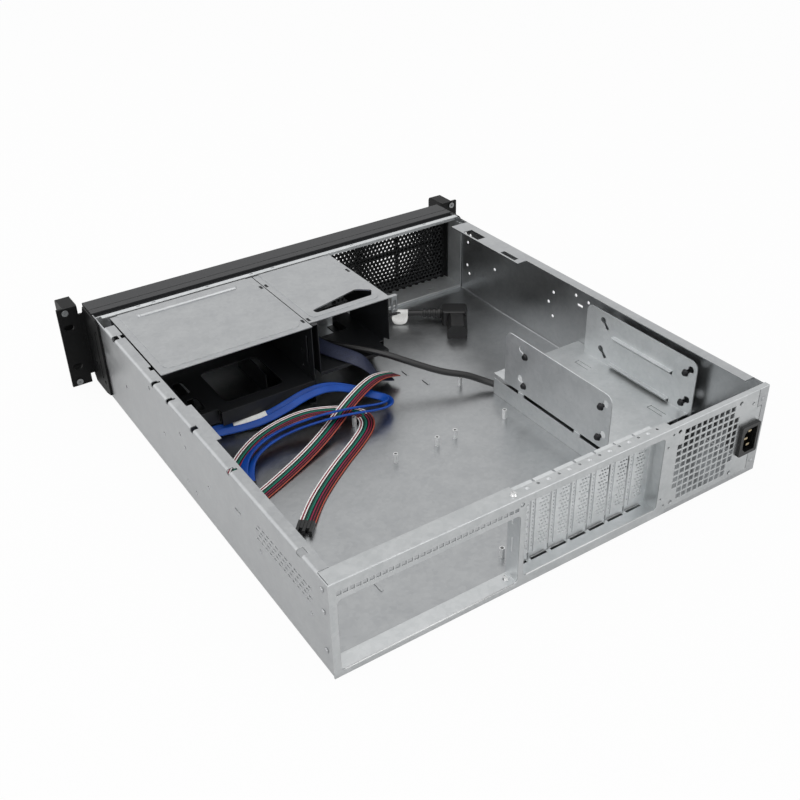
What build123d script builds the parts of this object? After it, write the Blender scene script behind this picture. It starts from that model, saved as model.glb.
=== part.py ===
"""2U rackmount server case, open at the top: folded steel tray, front panel and ears, bays, cradle and leads.

+X is the side with the input/output window, seen from behind on the left. +Y points to the rear and +Z up.
The origin lies on the floor under the middle of the case. Sizes are in millimetres.
"""
from build123d import *
import math
import os

# Overall sizes
RACK_WIDTH = 482.6
BODY_WIDTH = 430.0
CASE_HEIGHT = 88.0
CASE_DEPTH = 489.0
HANDLE_REACH = 26.0
INLET_PROUD = 3.4
DRAWN_DEPTH = 489.0
FRONT_PART = 262.0
TOTAL_DEPTH = CASE_DEPTH + HANDLE_REACH
REAR_Y = (TOTAL_DEPTH - INLET_PROUD) / 2
FIT = 0.3
PLAY = 0.1

# Sheet metal
SHEET = 1.0
BEND = 1.6
CAGE_SHEET = 0.8

# Base pan
LEFT_FLANGE = 10.5
LEFT_TAB = 15.0
LEFT_TAB_LENGTH = 59.0
RIGHT_FLANGE = 12.0
RIGHT_FLANGE_WIDE = 24.0
RIGHT_WIDE_END = CASE_DEPTH - 181.0
FLANGE_FRONT = CASE_DEPTH - 63.0
PAN_FRONT = CASE_DEPTH - 28.5
CORNER_GAP = 16.0
REAR_STRIP = 11.0
REAR_STRIP_WAIST = 5.6
WAIST_HEIGHTS = (22.0, 70.0)
SEAM = 0.7
REAR_LIP = 4.6
HOOK_SLOT = 5.0
HOOK_DEPTH = 4.0
HOOK_PLACES = (CASE_DEPTH - 181.0, 275.0, 155.0)
FLOOR_BUMPS = ((-50.9, 312.0), (-58.4, 285.0), (141.0, 60.0), (-30.0, 60.0))
WALL_HOLE = 3.6
VENT_SLOT = (4.4, 1.9)
VENT_PITCH = 7.0
VENT_ROW_PITCH = 4.6
VENT_COLUMNS = 12
VENT_ROWS = 4
VENT_REAR = 27.0
VENT_TOP = 66.0

# Rear panel
PANEL_FLANGE_IO = 15.5
PANEL_FLANGE_SLOTS = 10.0
PANEL_FLANGE_FAN = 5.0
RECESS = 15.0
IO_LEFT = 209.0
IO_RIGHT = 52.2
IO_TOP = 71.5
IO_BOTTOM = 4.6
WINDOW_RADIUS = 4.0
STRIP_WIDTH = 4.8
SLOTS_BOTTOM = 8.6
SLOTS_TOP = 81.0
SLOTS_RIGHT = -94.4
TOP_SLOT = (3.8, 3.3)
TOP_SLOT_PITCH = 5.2
TOP_SLOTS = 30
TOP_SLOT_HEIGHT = 77.6
FAN_SIZE = 80.0
FAN_HOLES = 71.5
FAN_HOLE = 4.2
FAN_CENTRE = (-146.0, 45.4)
GRILLE_CELL = (6.7, 6.6)
GRILLE_BAR = 1.2
GRILLE_RADIUS = 46.0
GRILLE_HALF = 38.5
INLET_CENTRE = (-197.4, 40.4)
INLET_BEZEL = (22.2, 30.5)
INLET_BODY = (18.4, 27.0)
INLET_SOCKET = (15.4, 24.0)
INLET_BACK = 14.0
PIN_SIZE = (4.0, 2.0)
PIN_LENGTH = 15.0

# Expansion slots
SLOT_COUNT = 7
SLOT_PITCH = 20.32
FIRST_SLOT = 41.8
COVER_WIDTH = 18.4
COVER_SHEET = 0.9
COVER_HOLE = 2.1
COVER_ROW_PITCH = 3.6
COVER_ROWS = 16
RIB_WIDTH = 2.4
RIB_PROUD = 0.7
TAB_REACH = 11.0
DIMPLE = (5.0, 1.2)

# Board standoffs, on the usual board pattern
BOARD_REAR_ROW = 33.6
BOARD_ROWS = (0.0, 154.94, 227.33)
BOARD_COLUMNS = (0.0, 157.48, 281.94)
BOARD_FIRST_COLUMN = 198.6
BOARD_EXTRA = ((203.2, 154.94), (223.5, 154.94))
STANDOFF_HEIGHT = 9.5
STANDOFF_WIDTH = 5.0
STANDOFF_BORE = 2.9

# Drive cradle
CRADLE_LEFT = -103.4
CRADLE_RIGHT = -204.0
CRADLE_FLOOR = 22.0
CRADLE_TOP = 78.6
CRADLE_FRONT = 232.0
CRADLE_REAR = 66.0
PLATE_FRONT = 215.0
PLATE_REAR = 70.5
PLATE_RADIUS = 8.0
KEY_ROWS = (36.9, 68.9)
KEY_COLUMNS = (77.5, 192.0)
KEY_LARGE = 6.8
KEY_SMALL = 4.6
KEY_SHIFT = (6.0, -6.0)
FAR_PLATE_BACK = 2.5
RIB_SLOT = (78.0, 4.2)
RIB_HEIGHTS = (23.4, 53.0)
FLOOR_LANCES = (92.0, 192.5)
RIB_MIDDLE = 135.0
SUPPORT_TOP = 18.5
SUPPORT_FRONT = 230.0
SUPPORT_REAR = 82.0
SUPPORT_FOOT = 8.0

# Front frame, mesh and panel
FRAME_PLANE = CASE_DEPTH - 38.5
FRAME_FLANGE = 4.6
COVER_FRONT = CASE_DEPTH - 45.0
MESH_PLANE = CASE_DEPTH - 21.0
LEDGE_BACK = CASE_DEPTH - 52.0
LEDGE_HEIGHT = 5.4
SCALLOP_PITCH = 9.2
SCALLOP = 5.6
MESH_LEFT = -46.0
MESH_HOLE = 5.4
MESH_PITCH = 7.0
INTAKE_WINDOWS = (47.0, 32.5, 52.0)
PANEL_DEPTH = 28.0
PANEL_SHEET = 1.2
PANEL_GAP = 1.0
PANEL_STEP = 84.6

# Bays
LARGE_LEFT = 202.4
LARGE_RIGHT = 50.4
LARGE_REAR = CASE_DEPTH - 173.4
SMALL_LEFT = 49.4
SMALL_RIGHT = -42.4
SMALL_REAR = CASE_DEPTH - 166.0
CAGE_INSET = 0.6
SMALL_FLOOR = 31.0
SMALL_FLOOR_REAR = CASE_DEPTH - 170.5
SMALL_WALL_REAR = CASE_DEPTH - 163.0
SMALL_CORNER = (11.0, 38.0)
SMALL_FOOT = (CASE_DEPTH - 131.0, 9.0)
LEAD_DOOR = (CASE_DEPTH - 85.0, CASE_DEPTH - 55.0, 30.0, 48.0)
TRAY_HEIGHT = 26.0
TRAY_HOLE = (62.0, 62.0)
TRAY_FLANGE = 14.0
TRAY_NOTCH = (50.0, 8.0)
BEAD = (107.0, 7.0, 1.7)
PLATE_MARGIN = 7.0
PLATE_PROUD = 0.6

# Ears and handles
EAR_SHEET = 2.5
EAR_FACE = CASE_DEPTH
EAR_FLANGE_BACK = CASE_DEPTH - 48.0
EAR_NOTCH = (6.0, 10.0)
RACK_SLOT = (10.0, 6.6)
RACK_SLOT_SPAN = 465.1
RACK_SLOT_PITCH = 76.2
HANDLE_WIDTH = 14.0
HANDLE_BAR = 10.0
HANDLE_LEG = 12.0
EAR_SCREW = max(RACK_WIDTH / 2 - 7.5, BODY_WIDTH / 2 + 4.0)

# Buttons and indicators on the front
BUTTON_X = 24.0
BUTTON_Z = 62.0
POWER_WIDTH = 10.0
RESET_WIDTH = 5.0
BUTTON_TRAVEL = 1.2
BUTTON_PROUD = 1.6
CONTROL_STEP = 15.0
BOARD_SHEET = 1.6

# Leads
MAINS_LEAD = 6.8
DATA_LEAD = 7.4
DATA_THICK = 2.2
RIBBON = 15.0
RIBBON_THICK = 1.2
SLEEVE = (11.0, 1.8)
BOOT_LENGTH = 22.0
BOOT_RINGS = 4
PLUG_BODY = (28.0, 22.0, 17.0)
PLUG_NOSE = (36.5, 21.5)
LABEL = (17.0, 13.0)
LABEL_START = 10.5
LEAD_SLEEVE = (8.4, 2.9, 7.6, 2.4)
PIN_HOUSINGS = 5


def from_rear(distance):
    """Y of a place that lies this far in front of the rear face."""
    return REAR_Y - distance


def from_front(distance):
    """Y of a place that lies this far behind the face of the front panel."""
    return REAR_Y - CASE_DEPTH + distance


def along(distance):
    """Y of a place of the drawing, where all that lies in the front part follows the front panel."""
    return from_rear(distance) if distance < FRONT_PART else from_front(DRAWN_DEPTH - distance)


def block(x0, x1, y0, y1, z0, z1):
    """Box between two corners, in any order."""
    size = (abs(x1 - x0), abs(y1 - y0), abs(z1 - z0))
    return Pos((x0 + x1) / 2, (y0 + y1) / 2, (z0 + z1) / 2) * Box(*size)


def drill(diameter, depth, x, y, z, axis):
    """Cylinder along a named axis, centred on a point."""
    turn = {"x": Rot(0, 90, 0), "y": Rot(90, 0, 0), "z": Rot(0, 0, 0)}[axis]
    return Pos(x, y, z) * turn * Cylinder(diameter / 2, depth)


def facing_rear(sketch, distance, thickness):
    """Plate from a sketch in X and Z whose rear side lies this far in front of the rear face."""
    lifted = Plane(origin=(0, from_rear(distance), 0), x_dir=(1, 0, 0), z_dir=(0, -1, 0)) * sketch
    return extrude(lifted, amount=thickness, dir=(0, -1, 0))


def lying(sketch, bottom, thickness):
    """Plate from a sketch in X and Y."""
    return extrude(Pos(0, 0, bottom) * sketch, amount=thickness, dir=(0, 0, 1))


def upright(sketch, x, thickness):
    """Plate from a sketch in Y and Z that grows towards +X."""
    lifted = Plane(origin=(x, 0, 0), x_dir=(0, 1, 0), z_dir=(1, 0, 0)) * sketch
    return extrude(lifted, amount=thickness, dir=(1, 0, 0))


def at(x, y, shape):
    """2D shape moved to a place."""
    return Pos(x, y) * shape


def slot_centres():
    return [FIRST_SLOT - SLOT_PITCH * k for k in range(SLOT_COUNT)]


INNER = BODY_WIDTH / 2 - SHEET
HALF = BODY_WIDTH / 2
FRONT_Y = from_rear(PAN_FRONT)
COVER_Z = CASE_HEIGHT - SHEET


def base_pan():
    """Floor, side walls and top flanges, folded from one sheet."""
    top = CASE_HEIGHT
    outline = Polyline(
        (-HALF + RIGHT_FLANGE, top), (-HALF, top), (-HALF, 0), (HALF, 0), (HALF, top), (HALF - LEFT_FLANGE, top),
    )
    corners = [v for v in outline.vertices() if abs(abs(v.X) - HALF) < SHEET]
    profile = fillet(corners, BEND + SHEET)
    inward = Polyline(
        (HALF - LEFT_FLANGE, top - SHEET), (INNER, top - SHEET), (INNER, SHEET),
        (-INNER, SHEET), (-INNER, top - SHEET), (-HALF + RIGHT_FLANGE, top - SHEET),
    )
    inner_corners = [v for v in inward.vertices() if abs(abs(v.X) - INNER) < SHEET / 2]
    inner_profile = fillet(inner_corners, BEND)
    ends = [
        Line((HALF - LEFT_FLANGE, top), (HALF - LEFT_FLANGE, top - SHEET)),
        Line((-HALF + RIGHT_FLANGE, top - SHEET), (-HALF + RIGHT_FLANGE, top)),
    ]
    section = make_face(profile.edges() + inner_profile.edges() + [e.edge() for e in ends])
    rear = from_rear(SHEET + PLAY)
    lifted = Plane(origin=(0, FRONT_Y, 0), x_dir=(1, 0, 0), z_dir=(0, -1, 0)) * section
    pan = extrude(lifted, amount=rear - FRONT_Y, dir=(0, 1, 0))
    tab_y = from_rear(225.0)
    pan += block(HALF - LEFT_TAB, HALF - LEFT_FLANGE + SHEET, tab_y - LEFT_TAB_LENGTH / 2,
                 tab_y + LEFT_TAB_LENGTH / 2, top - SHEET, top)
    pan += block(-HALF + RIGHT_FLANGE - SHEET, -HALF + RIGHT_FLANGE_WIDE, from_rear(FLANGE_FRONT),
                 from_rear(RIGHT_WIDE_END), top - SHEET, top)
    pan += block(-HALF, -HALF + REAR_STRIP, from_rear(SHEET), REAR_Y, 0, top)
    pan += block(-HALF, -HALF + SHEET, from_rear(SHEET + 2 * PLAY), REAR_Y, 0, top)
    pan += block(-HALF + REAR_STRIP - SHEET, -IO_LEFT / 2, from_rear(SHEET), REAR_Y, 0, REAR_LIP)
    pan += block(-HALF + SHEET, -IO_LEFT / 2, from_rear(SHEET + 2 * PLAY), REAR_Y, 0, SHEET)
    low, high = WAIST_HEIGHTS
    pan -= block(-HALF + REAR_STRIP_WAIST, -HALF + REAR_STRIP + 1, from_rear(SHEET * 2), REAR_Y + 1, low, high)
    pan -= block(-HALF - 1, -HALF + REAR_STRIP + 1, from_rear(PANEL_FLANGE_FAN + PLAY), REAR_Y + 1,
                 top - SHEET - PLAY, top + 1)
    for x, distance in FLOOR_BUMPS:
        bump = Pos(x, from_rear(distance), SHEET / 2) * Rot(0, 0, 90) * SlotOverall(12, 3)
        pan += extrude(bump, amount=SHEET / 2 + 0.9, taper=12)
    return pan - pan_cuts()


def pan_cuts():
    top = CASE_HEIGHT
    reach = BEND + HOOK_DEPTH
    cuts = []
    for side, width in ((1, LEFT_FLANGE), (-1, RIGHT_FLANGE)):
        inner_x = side * (HALF - max(width, RIGHT_FLANGE_WIDE if side < 0 else width) - SHEET)
        outer_x = side * (HALF - SHEET)
        cuts.append(block(inner_x, outer_x, FRONT_Y - 1, from_rear(FLANGE_FRONT), top - 2 * SHEET, top + 1))
        cuts.append(block(inner_x, outer_x, from_rear(CORNER_GAP), REAR_Y - SHEET, top - 2 * SHEET, top + 1))
    for place in HOOK_PLACES:
        y = from_rear(place)
        cuts.append(block(HALF - reach, HALF + 1, y, y + HOOK_SLOT, top - HOOK_DEPTH, top + 1))
        cuts.append(block(HALF - reach - 2, HALF - reach + 1, y + 2, y + HOOK_SLOT, top - 2 * SHEET, top + 1))
    cuts.append(block(HALF - reach, HALF + 1, from_front(84), from_front(92), top - HOOK_DEPTH, top + 1))
    cuts.append(block(HALF - reach, HALF + 1, from_rear(224), from_rear(218), top - HOOK_DEPTH, top + 1))
    cuts.append(block(HALF - reach, HALF + 1, from_rear(44), from_rear(36), top - HOOK_DEPTH, top + 1))
    for y in (from_front(85), from_front(156)):
        cuts.append(block(HALF - LEFT_FLANGE - 1, HALF - LEFT_FLANGE + 3, y, y + 7, top - 2 * SHEET, top + 1))
    wide_in = -HALF + RIGHT_FLANGE_WIDE
    cuts.append(block(wide_in - 13, wide_in - 2, from_front(83), from_front(109), top - 2 * SHEET, top + 1))
    cuts.append(block(wide_in - 8, wide_in - 2, from_front(149), from_front(173), top - 2 * SHEET, top + 1))
    left_holes = (
        (385, 43.3), (314.4, 78.6), (292.8, 42.4), (251, 65.8), (242, 57.3), (248.9, 18.1), (199.9, 41.5),
        (231.6, 15.8), (105.7, 41.2), (27.5, 41.1),
    )
    for distance, height in left_holes:
        cuts.append(drill(WALL_HOLE, 4 * SHEET, HALF, along(distance), height, "x"))
    right_holes = (
        (425.4, 62.9), (429.8, 72.5), (420.8, 73.2), (426, 34.3), (421.7, 24.9), (374.7, 48.3), (275, 61.2),
        (281.9, 47.7), (274.2, 33.6), (241.1, 71.8), (222.3, 71.0),
    )
    for distance, height in right_holes:
        cuts.append(drill(WALL_HOLE, 4 * SHEET, -HALF, along(distance), height, "x"))
    cuts.append(block(HALF - 2, HALF + 1, from_rear(147), from_rear(137), 54.4, 57.0))
    cuts.append(block(-HALF - 1, -HALF + 2, from_rear(238), from_rear(230), 61.6, 64.2))
    for row in range(VENT_ROWS):
        for column in range(VENT_COLUMNS):
            y = from_rear(VENT_REAR + VENT_PITCH * column + (row % 2) * VENT_PITCH / 2)
            z = VENT_TOP - VENT_ROW_PITCH * row
            cuts.append(Pos(HALF - SHEET / 2, y, z) * Box(4 * SHEET, *VENT_SLOT))
    return cuts


def rear_panel():
    """Rear wall with its windows, fan grille and inlet opening, and its stepped top flange."""
    left = HALF
    right = -HALF + REAR_STRIP + SEAM
    bottom = 0.0
    face = at((left + right) / 2, (bottom + CASE_HEIGHT) / 2, Rectangle(left - right, CASE_HEIGHT - bottom))
    waist_low, waist_high = WAIST_HEIGHTS
    tongue = right + SHEET - (-HALF + REAR_STRIP_WAIST + SEAM)
    face += at(right + SHEET - tongue / 2, (waist_low + waist_high) / 2, Rectangle(tongue, waist_high - waist_low - 2 * SEAM))
    face += at(-HALF + (right + HALF + SHEET) / 2, CASE_HEIGHT - SHEET / 2, Rectangle(right + HALF + SHEET, SHEET))
    lip_left = -IO_LEFT / 2 + PLAY
    face -= at((right + lip_left) / 2, 0, Rectangle(lip_left - right, 2 * (REAR_LIP + PLAY)))
    io = RectangleRounded(IO_LEFT - IO_RIGHT, IO_TOP - IO_BOTTOM, WINDOW_RADIUS)
    face -= at((IO_LEFT + IO_RIGHT) / 2, (IO_TOP + IO_BOTTOM) / 2, io)
    slots_left = IO_RIGHT - STRIP_WIDTH
    window = RectangleRounded(slots_left - SLOTS_RIGHT, SLOTS_TOP - SLOTS_BOTTOM, WINDOW_RADIUS)
    face -= at((slots_left + SLOTS_RIGHT) / 2, (SLOTS_TOP + SLOTS_BOTTOM) / 2, window)
    first = IO_LEFT - TOP_SLOT[0] / 2
    face -= [at(first - TOP_SLOT_PITCH * k, TOP_SLOT_HEIGHT, Rectangle(*TOP_SLOT)) for k in range(TOP_SLOTS)]
    face -= grille_cells()
    face -= at(*INLET_CENTRE, Rectangle(*INLET_BODY))
    small = ((51.3, 80.7, 4.0), (-98.7, 69.8, 2.4), (-103.3, 80.8, 2.4), (-97.8, 17.7, 2.4), (-102.2, 9.4, 2.4),
             (-197.9, 75.1, 3.2))
    face -= [at(x, z, Circle(size / 2)) for x, z, size in small]
    plate = facing_rear(face, 0, SHEET)
    under = CASE_HEIGHT - SHEET
    plate += block(IO_RIGHT, left - SHEET - FIT, from_rear(PANEL_FLANGE_IO), from_rear(SHEET / 2), under, CASE_HEIGHT)
    plate += block(SLOTS_RIGHT - 8, IO_RIGHT, from_rear(PANEL_FLANGE_SLOTS), from_rear(SHEET / 2), under, CASE_HEIGHT)
    plate += block(-HALF, SLOTS_RIGHT - 8, from_rear(PANEL_FLANGE_FAN), from_rear(SHEET / 2), under, CASE_HEIGHT)
    plate += block(HALF - 2 * SHEET - PLAY, HALF - SHEET - PLAY, from_rear(14), from_rear(SHEET / 2),
                   SHEET + BEND + FIT, under - BEND)
    holes = [drill(2.6, 4 * SHEET, x - SLOT_PITCH / 2, from_rear(7), under, "z") for x in slot_centres()]
    plate -= holes
    for x in slot_centres():
        middle = (x, from_rear(6.8), CASE_HEIGHT - SHEET / 2)
        plate += Pos(*middle) * Cone(DIMPLE[0] / 2, DIMPLE[0] / 5, DIMPLE[1] + SHEET / 2,
                                     align=(Align.CENTER, Align.CENTER, Align.MIN))
    bend = [e for e in plate.edges().filter_by(Axis.X)
            if abs(e.center().Y - REAR_Y) < PLAY and abs(e.center().Z - CASE_HEIGHT) < PLAY]
    return fillet(bend, 0.9)


def grille_cells():
    """Square openings of the fan grille, kept inside its rounded outline and off the screw holes."""
    cells = []
    width, height = GRILLE_CELL
    columns = int(2 * GRILLE_HALF / width)
    rows = int(2 * GRILLE_HALF / height)
    for i in range(columns):
        for j in range(rows):
            x = (i - (columns - 1) / 2) * width
            z = (j - (rows - 1) / 2) * height
            if math.hypot(x, z) < GRILLE_RADIUS - width / 2:
                cell = Rectangle(width - GRILLE_BAR, height - GRILLE_BAR)
                cells.append(at(FAN_CENTRE[0] + x, FAN_CENTRE[1] + z, cell))
    half = FAN_HOLES / 2
    for side in (-1, 1):
        for level in (-1, 1):
            cells.append(at(FAN_CENTRE[0] + side * half, FAN_CENTRE[1] + level * half, Circle(FAN_HOLE / 2)))
    return cells


def expansion_frame():
    """Recess behind the windows: shelf, side walls and the back wall that holds the slot covers."""
    inner = RECESS
    wall = IO_RIGHT - SHEET
    shelf_z = IO_BOTTOM - SHEET
    parts = block(wall, IO_LEFT, from_rear(inner), from_rear(SHEET + PLAY), shelf_z, IO_BOTTOM)
    parts += block(wall, wall + SHEET, from_rear(inner), from_rear(SHEET + PLAY), shelf_z, SLOTS_TOP)
    right = SLOTS_RIGHT - SHEET
    parts += block(right, wall + SHEET, from_rear(inner + SHEET), from_rear(SHEET + PLAY), SLOTS_BOTTOM - SHEET,
                   SLOTS_BOTTOM)
    parts += block(right, right + SHEET, from_rear(inner + SHEET), from_rear(SHEET + PLAY), SLOTS_BOTTOM - SHEET,
                   SLOTS_TOP)
    parts += block(wall, wall + SHEET, from_rear(inner + SHEET), from_rear(SHEET + PLAY), shelf_z, SLOTS_BOTTOM)
    parts += block(right, wall + SHEET, from_rear(inner + SHEET), from_rear(inner), SHEET + PLAY, SLOTS_BOTTOM + 5.0)
    parts += block(right, SLOTS_RIGHT + 6.0, from_rear(inner + SHEET), from_rear(inner), SHEET + PLAY, SLOTS_TOP)
    cuts = []
    for x in slot_centres():
        cuts.append(block(x - 8, x + 8, from_rear(inner - 1.4), from_rear(inner - 4), 0, SLOTS_BOTTOM + 1))
    cuts.append(block(wall - 1, wall + 2 * SHEET, from_rear(9.6), from_rear(8.4), 30, 44))
    cuts.append(block(wall - 1, wall + 2 * SHEET, from_rear(10.5), from_rear(8.5), 57, 62))
    cuts.append(drill(3.0, 4 * SHEET, wall + 5.5, from_rear(9.0), shelf_z + SHEET / 2, "z"))
    return parts - cuts


def slot_cover(x):
    """Low expansion cover: raised rib, two fields of perforations, folded tab with its screw slot."""
    bottom = SLOTS_BOTTOM + FIT
    top = CASE_HEIGHT - SHEET - FIT
    height = top - bottom
    face = at(x, bottom + height / 2, Rectangle(COVER_WIDTH, height))
    pitch = COVER_ROW_PITCH
    holes = []
    first = bottom + 11.0
    for row in range(COVER_ROWS):
        z = first + pitch * row
        shift = pitch / 4 if row % 2 else -pitch / 4
        for place, size in ((7.0, 0.5), (-0.9 + shift, 1.0), (-3.9 + shift, 1.0), (-6.9 + shift, 1.0)):
            holes.append(at(x + place, z, Rectangle(COVER_HOLE * size, COVER_HOLE)))
    plate = facing_rear(face - holes, RECESS - COVER_SHEET - PLAY, COVER_SHEET)
    rib_y = from_rear(RECESS - COVER_SHEET - PLAY)
    plate += block(x + 4.0 - RIB_WIDTH / 2, x + 4.0 + RIB_WIDTH / 2, rib_y - COVER_SHEET / 2, rib_y + RIB_PROUD,
                   bottom + 5, top - 8)
    plate += block(x - COVER_WIDTH / 2, x + COVER_WIDTH / 2, rib_y - COVER_SHEET, rib_y + TAB_REACH - COVER_SHEET,
                   top - COVER_SHEET, top)
    plate -= drill(3.2, 4 * SHEET, x - SLOT_PITCH / 2, from_rear(7), top, "z")
    return plate


def power_inlet():
    """Mains inlet: bezel outside the panel, body behind it and the keyed socket."""
    x, z = INLET_CENTRE
    bezel = at(x, z, RectangleRounded(*INLET_BEZEL, 1.5))
    shape = facing_rear(bezel, -INLET_PROUD, INLET_PROUD - PLAY / 2)
    body = at(x, z, Rectangle(INLET_BODY[0] - FIT, INLET_BODY[1] - FIT))
    shape += facing_rear(body, -INLET_PROUD, INLET_PROUD + INLET_BACK)
    half_w, half_h = INLET_SOCKET[0] / 2, INLET_SOCKET[1] / 2
    key = 4.2
    socket = Polyline(
        (x - half_w, z - half_h), (x + half_w - key, z - half_h), (x + half_w, z - half_h + key),
        (x + half_w, z + half_h - key), (x + half_w - key, z + half_h), (x - half_w, z + half_h), close=True,
    )
    return shape - facing_rear(make_face(socket), -INLET_PROUD - 1, INLET_BACK - 2 + INLET_PROUD)


def inlet_pins():
    """The three flat pins of the inlet."""
    x, z = INLET_CENTRE
    floor = INLET_BACK - 3
    pins = []
    for dx, dz in ((1.6, 0.0), (-2.0, 7.0), (-2.0, -7.0)):
        shape = at(x + dx, z + dz, Rectangle(*PIN_SIZE))
        pins.append(facing_rear(shape, floor - PIN_LENGTH + INLET_PROUD, PIN_LENGTH - INLET_PROUD))
    return pins


def standoffs():
    """Hexagonal board posts in the floor, each with its thread bore."""
    places = [(BOARD_FIRST_COLUMN - dx, BOARD_REAR_ROW + dy) for dx in BOARD_COLUMNS for dy in BOARD_ROWS]
    places += [(BOARD_FIRST_COLUMN - dx, BOARD_REAR_ROW + dy) for dx, dy in BOARD_EXTRA]
    posts = []
    for x, distance in places:
        shape = Pos(x, from_rear(distance)) * (RegularPolygon(STANDOFF_WIDTH / 2, 6) - Circle(STANDOFF_BORE / 2))
        posts.append(lying(shape, SHEET, STANDOFF_HEIGHT))
    return posts


def keyhole(y, z, turn):
    """Round hole with a narrow tail towards the middle and down, for a shouldered screw."""
    neck_y, neck_z = y + turn * KEY_SHIFT[0], z + KEY_SHIFT[1]
    shape = at(y, z, Circle(KEY_LARGE / 2)) + at(neck_y, neck_z, Circle(KEY_SMALL / 2))
    angle = math.degrees(math.atan2(neck_z - z, neck_y - y))
    length = math.hypot(neck_y - y, neck_z - z)
    return shape + at((y + neck_y) / 2, (z + neck_z) / 2, Rot(0, 0, angle) * Rectangle(length, KEY_SMALL * 0.8))


def key_places(back):
    """Middle of each round hole, and the way its tail points along the case."""
    rear, front = KEY_COLUMNS
    return [(from_rear(d - back), z, turn) for d, turn in ((rear, -1), (front, 1)) for z in KEY_ROWS]


def cradle_plate(x, shift):
    """Upright side of the cradle with its rounded top corners and keyholes."""
    back, front = from_rear(PLATE_REAR - shift), from_rear(PLATE_FRONT - shift)
    height = CRADLE_TOP - CRADLE_FLOOR
    outline = Rectangle(back - front, height)
    outline = fillet(outline.vertices().sort_by(Axis.Y)[-2:], PLATE_RADIUS)
    outline = at((back + front) / 2, CRADLE_FLOOR + height / 2, outline)
    outline -= [keyhole(*place) for place in key_places(shift)]
    return upright(outline, x, SHEET)


def drive_cradle():
    """Raised U-shaped cradle: floor, two upright sides, lanced ribs on the wall side."""
    left, right = CRADLE_LEFT - SHEET, CRADLE_RIGHT
    shape = block(CRADLE_LEFT, -INNER + FIT, from_rear(CRADLE_FRONT), from_rear(CRADLE_REAR + 6), CRADLE_FLOOR,
                  CRADLE_FLOOR + SHEET)
    for distance in FLOOR_LANCES:
        y = from_rear(distance)
        lance = block(right + 16, right + 22, y - 9.5, y + 9.5, CRADLE_FLOOR - 1, CRADLE_FLOOR + 2 * SHEET)
        lance -= block(right + 16.8, right + 21.2, y - 8.7, y + 11, CRADLE_FLOOR - 2, CRADLE_FLOOR + 3 * SHEET)
        shape -= lance
    shape += cradle_plate(left, 0)
    shape += cradle_plate(right - SHEET, FAR_PLATE_BACK)
    middle = from_rear(RIB_MIDDLE)
    for z in RIB_HEIGHTS:
        shape -= block(right - 2 * SHEET, right + SHEET, middle - RIB_SLOT[0] / 2, middle + RIB_SLOT[0] / 2, z,
                       z + RIB_SLOT[1])
        shape += block(right - SHEET, right + 4, middle - RIB_SLOT[0] / 2, middle + RIB_SLOT[0] / 2,
                       z + RIB_SLOT[1] - SHEET / 2, z + RIB_SLOT[1] + SHEET / 2)
    return shape


def cradle_support(x, foot):
    """Low wall under one edge of the cradle, with a foot on the floor and two lugs up to the cradle."""
    low = SHEET + PLAY
    front, back = from_rear(SUPPORT_FRONT), from_rear(SUPPORT_REAR)
    shape = block(x, x + SHEET, front, back, low, SUPPORT_TOP)
    shape += block(x + SHEET if foot > 0 else x, x + foot, front + 15, back, low, low + SHEET)
    span = back - front
    for share in (0.28, 0.82):
        y = front + share * span
        shape += block(x, x + SHEET, y - 4, y + 4, SUPPORT_TOP - SHEET, CRADLE_FLOOR - PLAY)
    return shape


def key_screws(x, places):
    """Pan-head screws that hang in the tails of keyholes."""
    screws = []
    for y, z, turn in places:
        y, z = y + turn * KEY_SHIFT[0], z + KEY_SHIFT[1]
        shank = drill(KEY_SMALL - FIT, 5, x - 0.5, y, z, "x")
        head = Pos(x + PLAY, y, z) * Rot(0, 90, 0) * Cone(
            3.6, 2.4, 2.2, align=(Align.CENTER, Align.CENTER, Align.MIN))
        screws.append(shank + head)
    return screws


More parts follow.
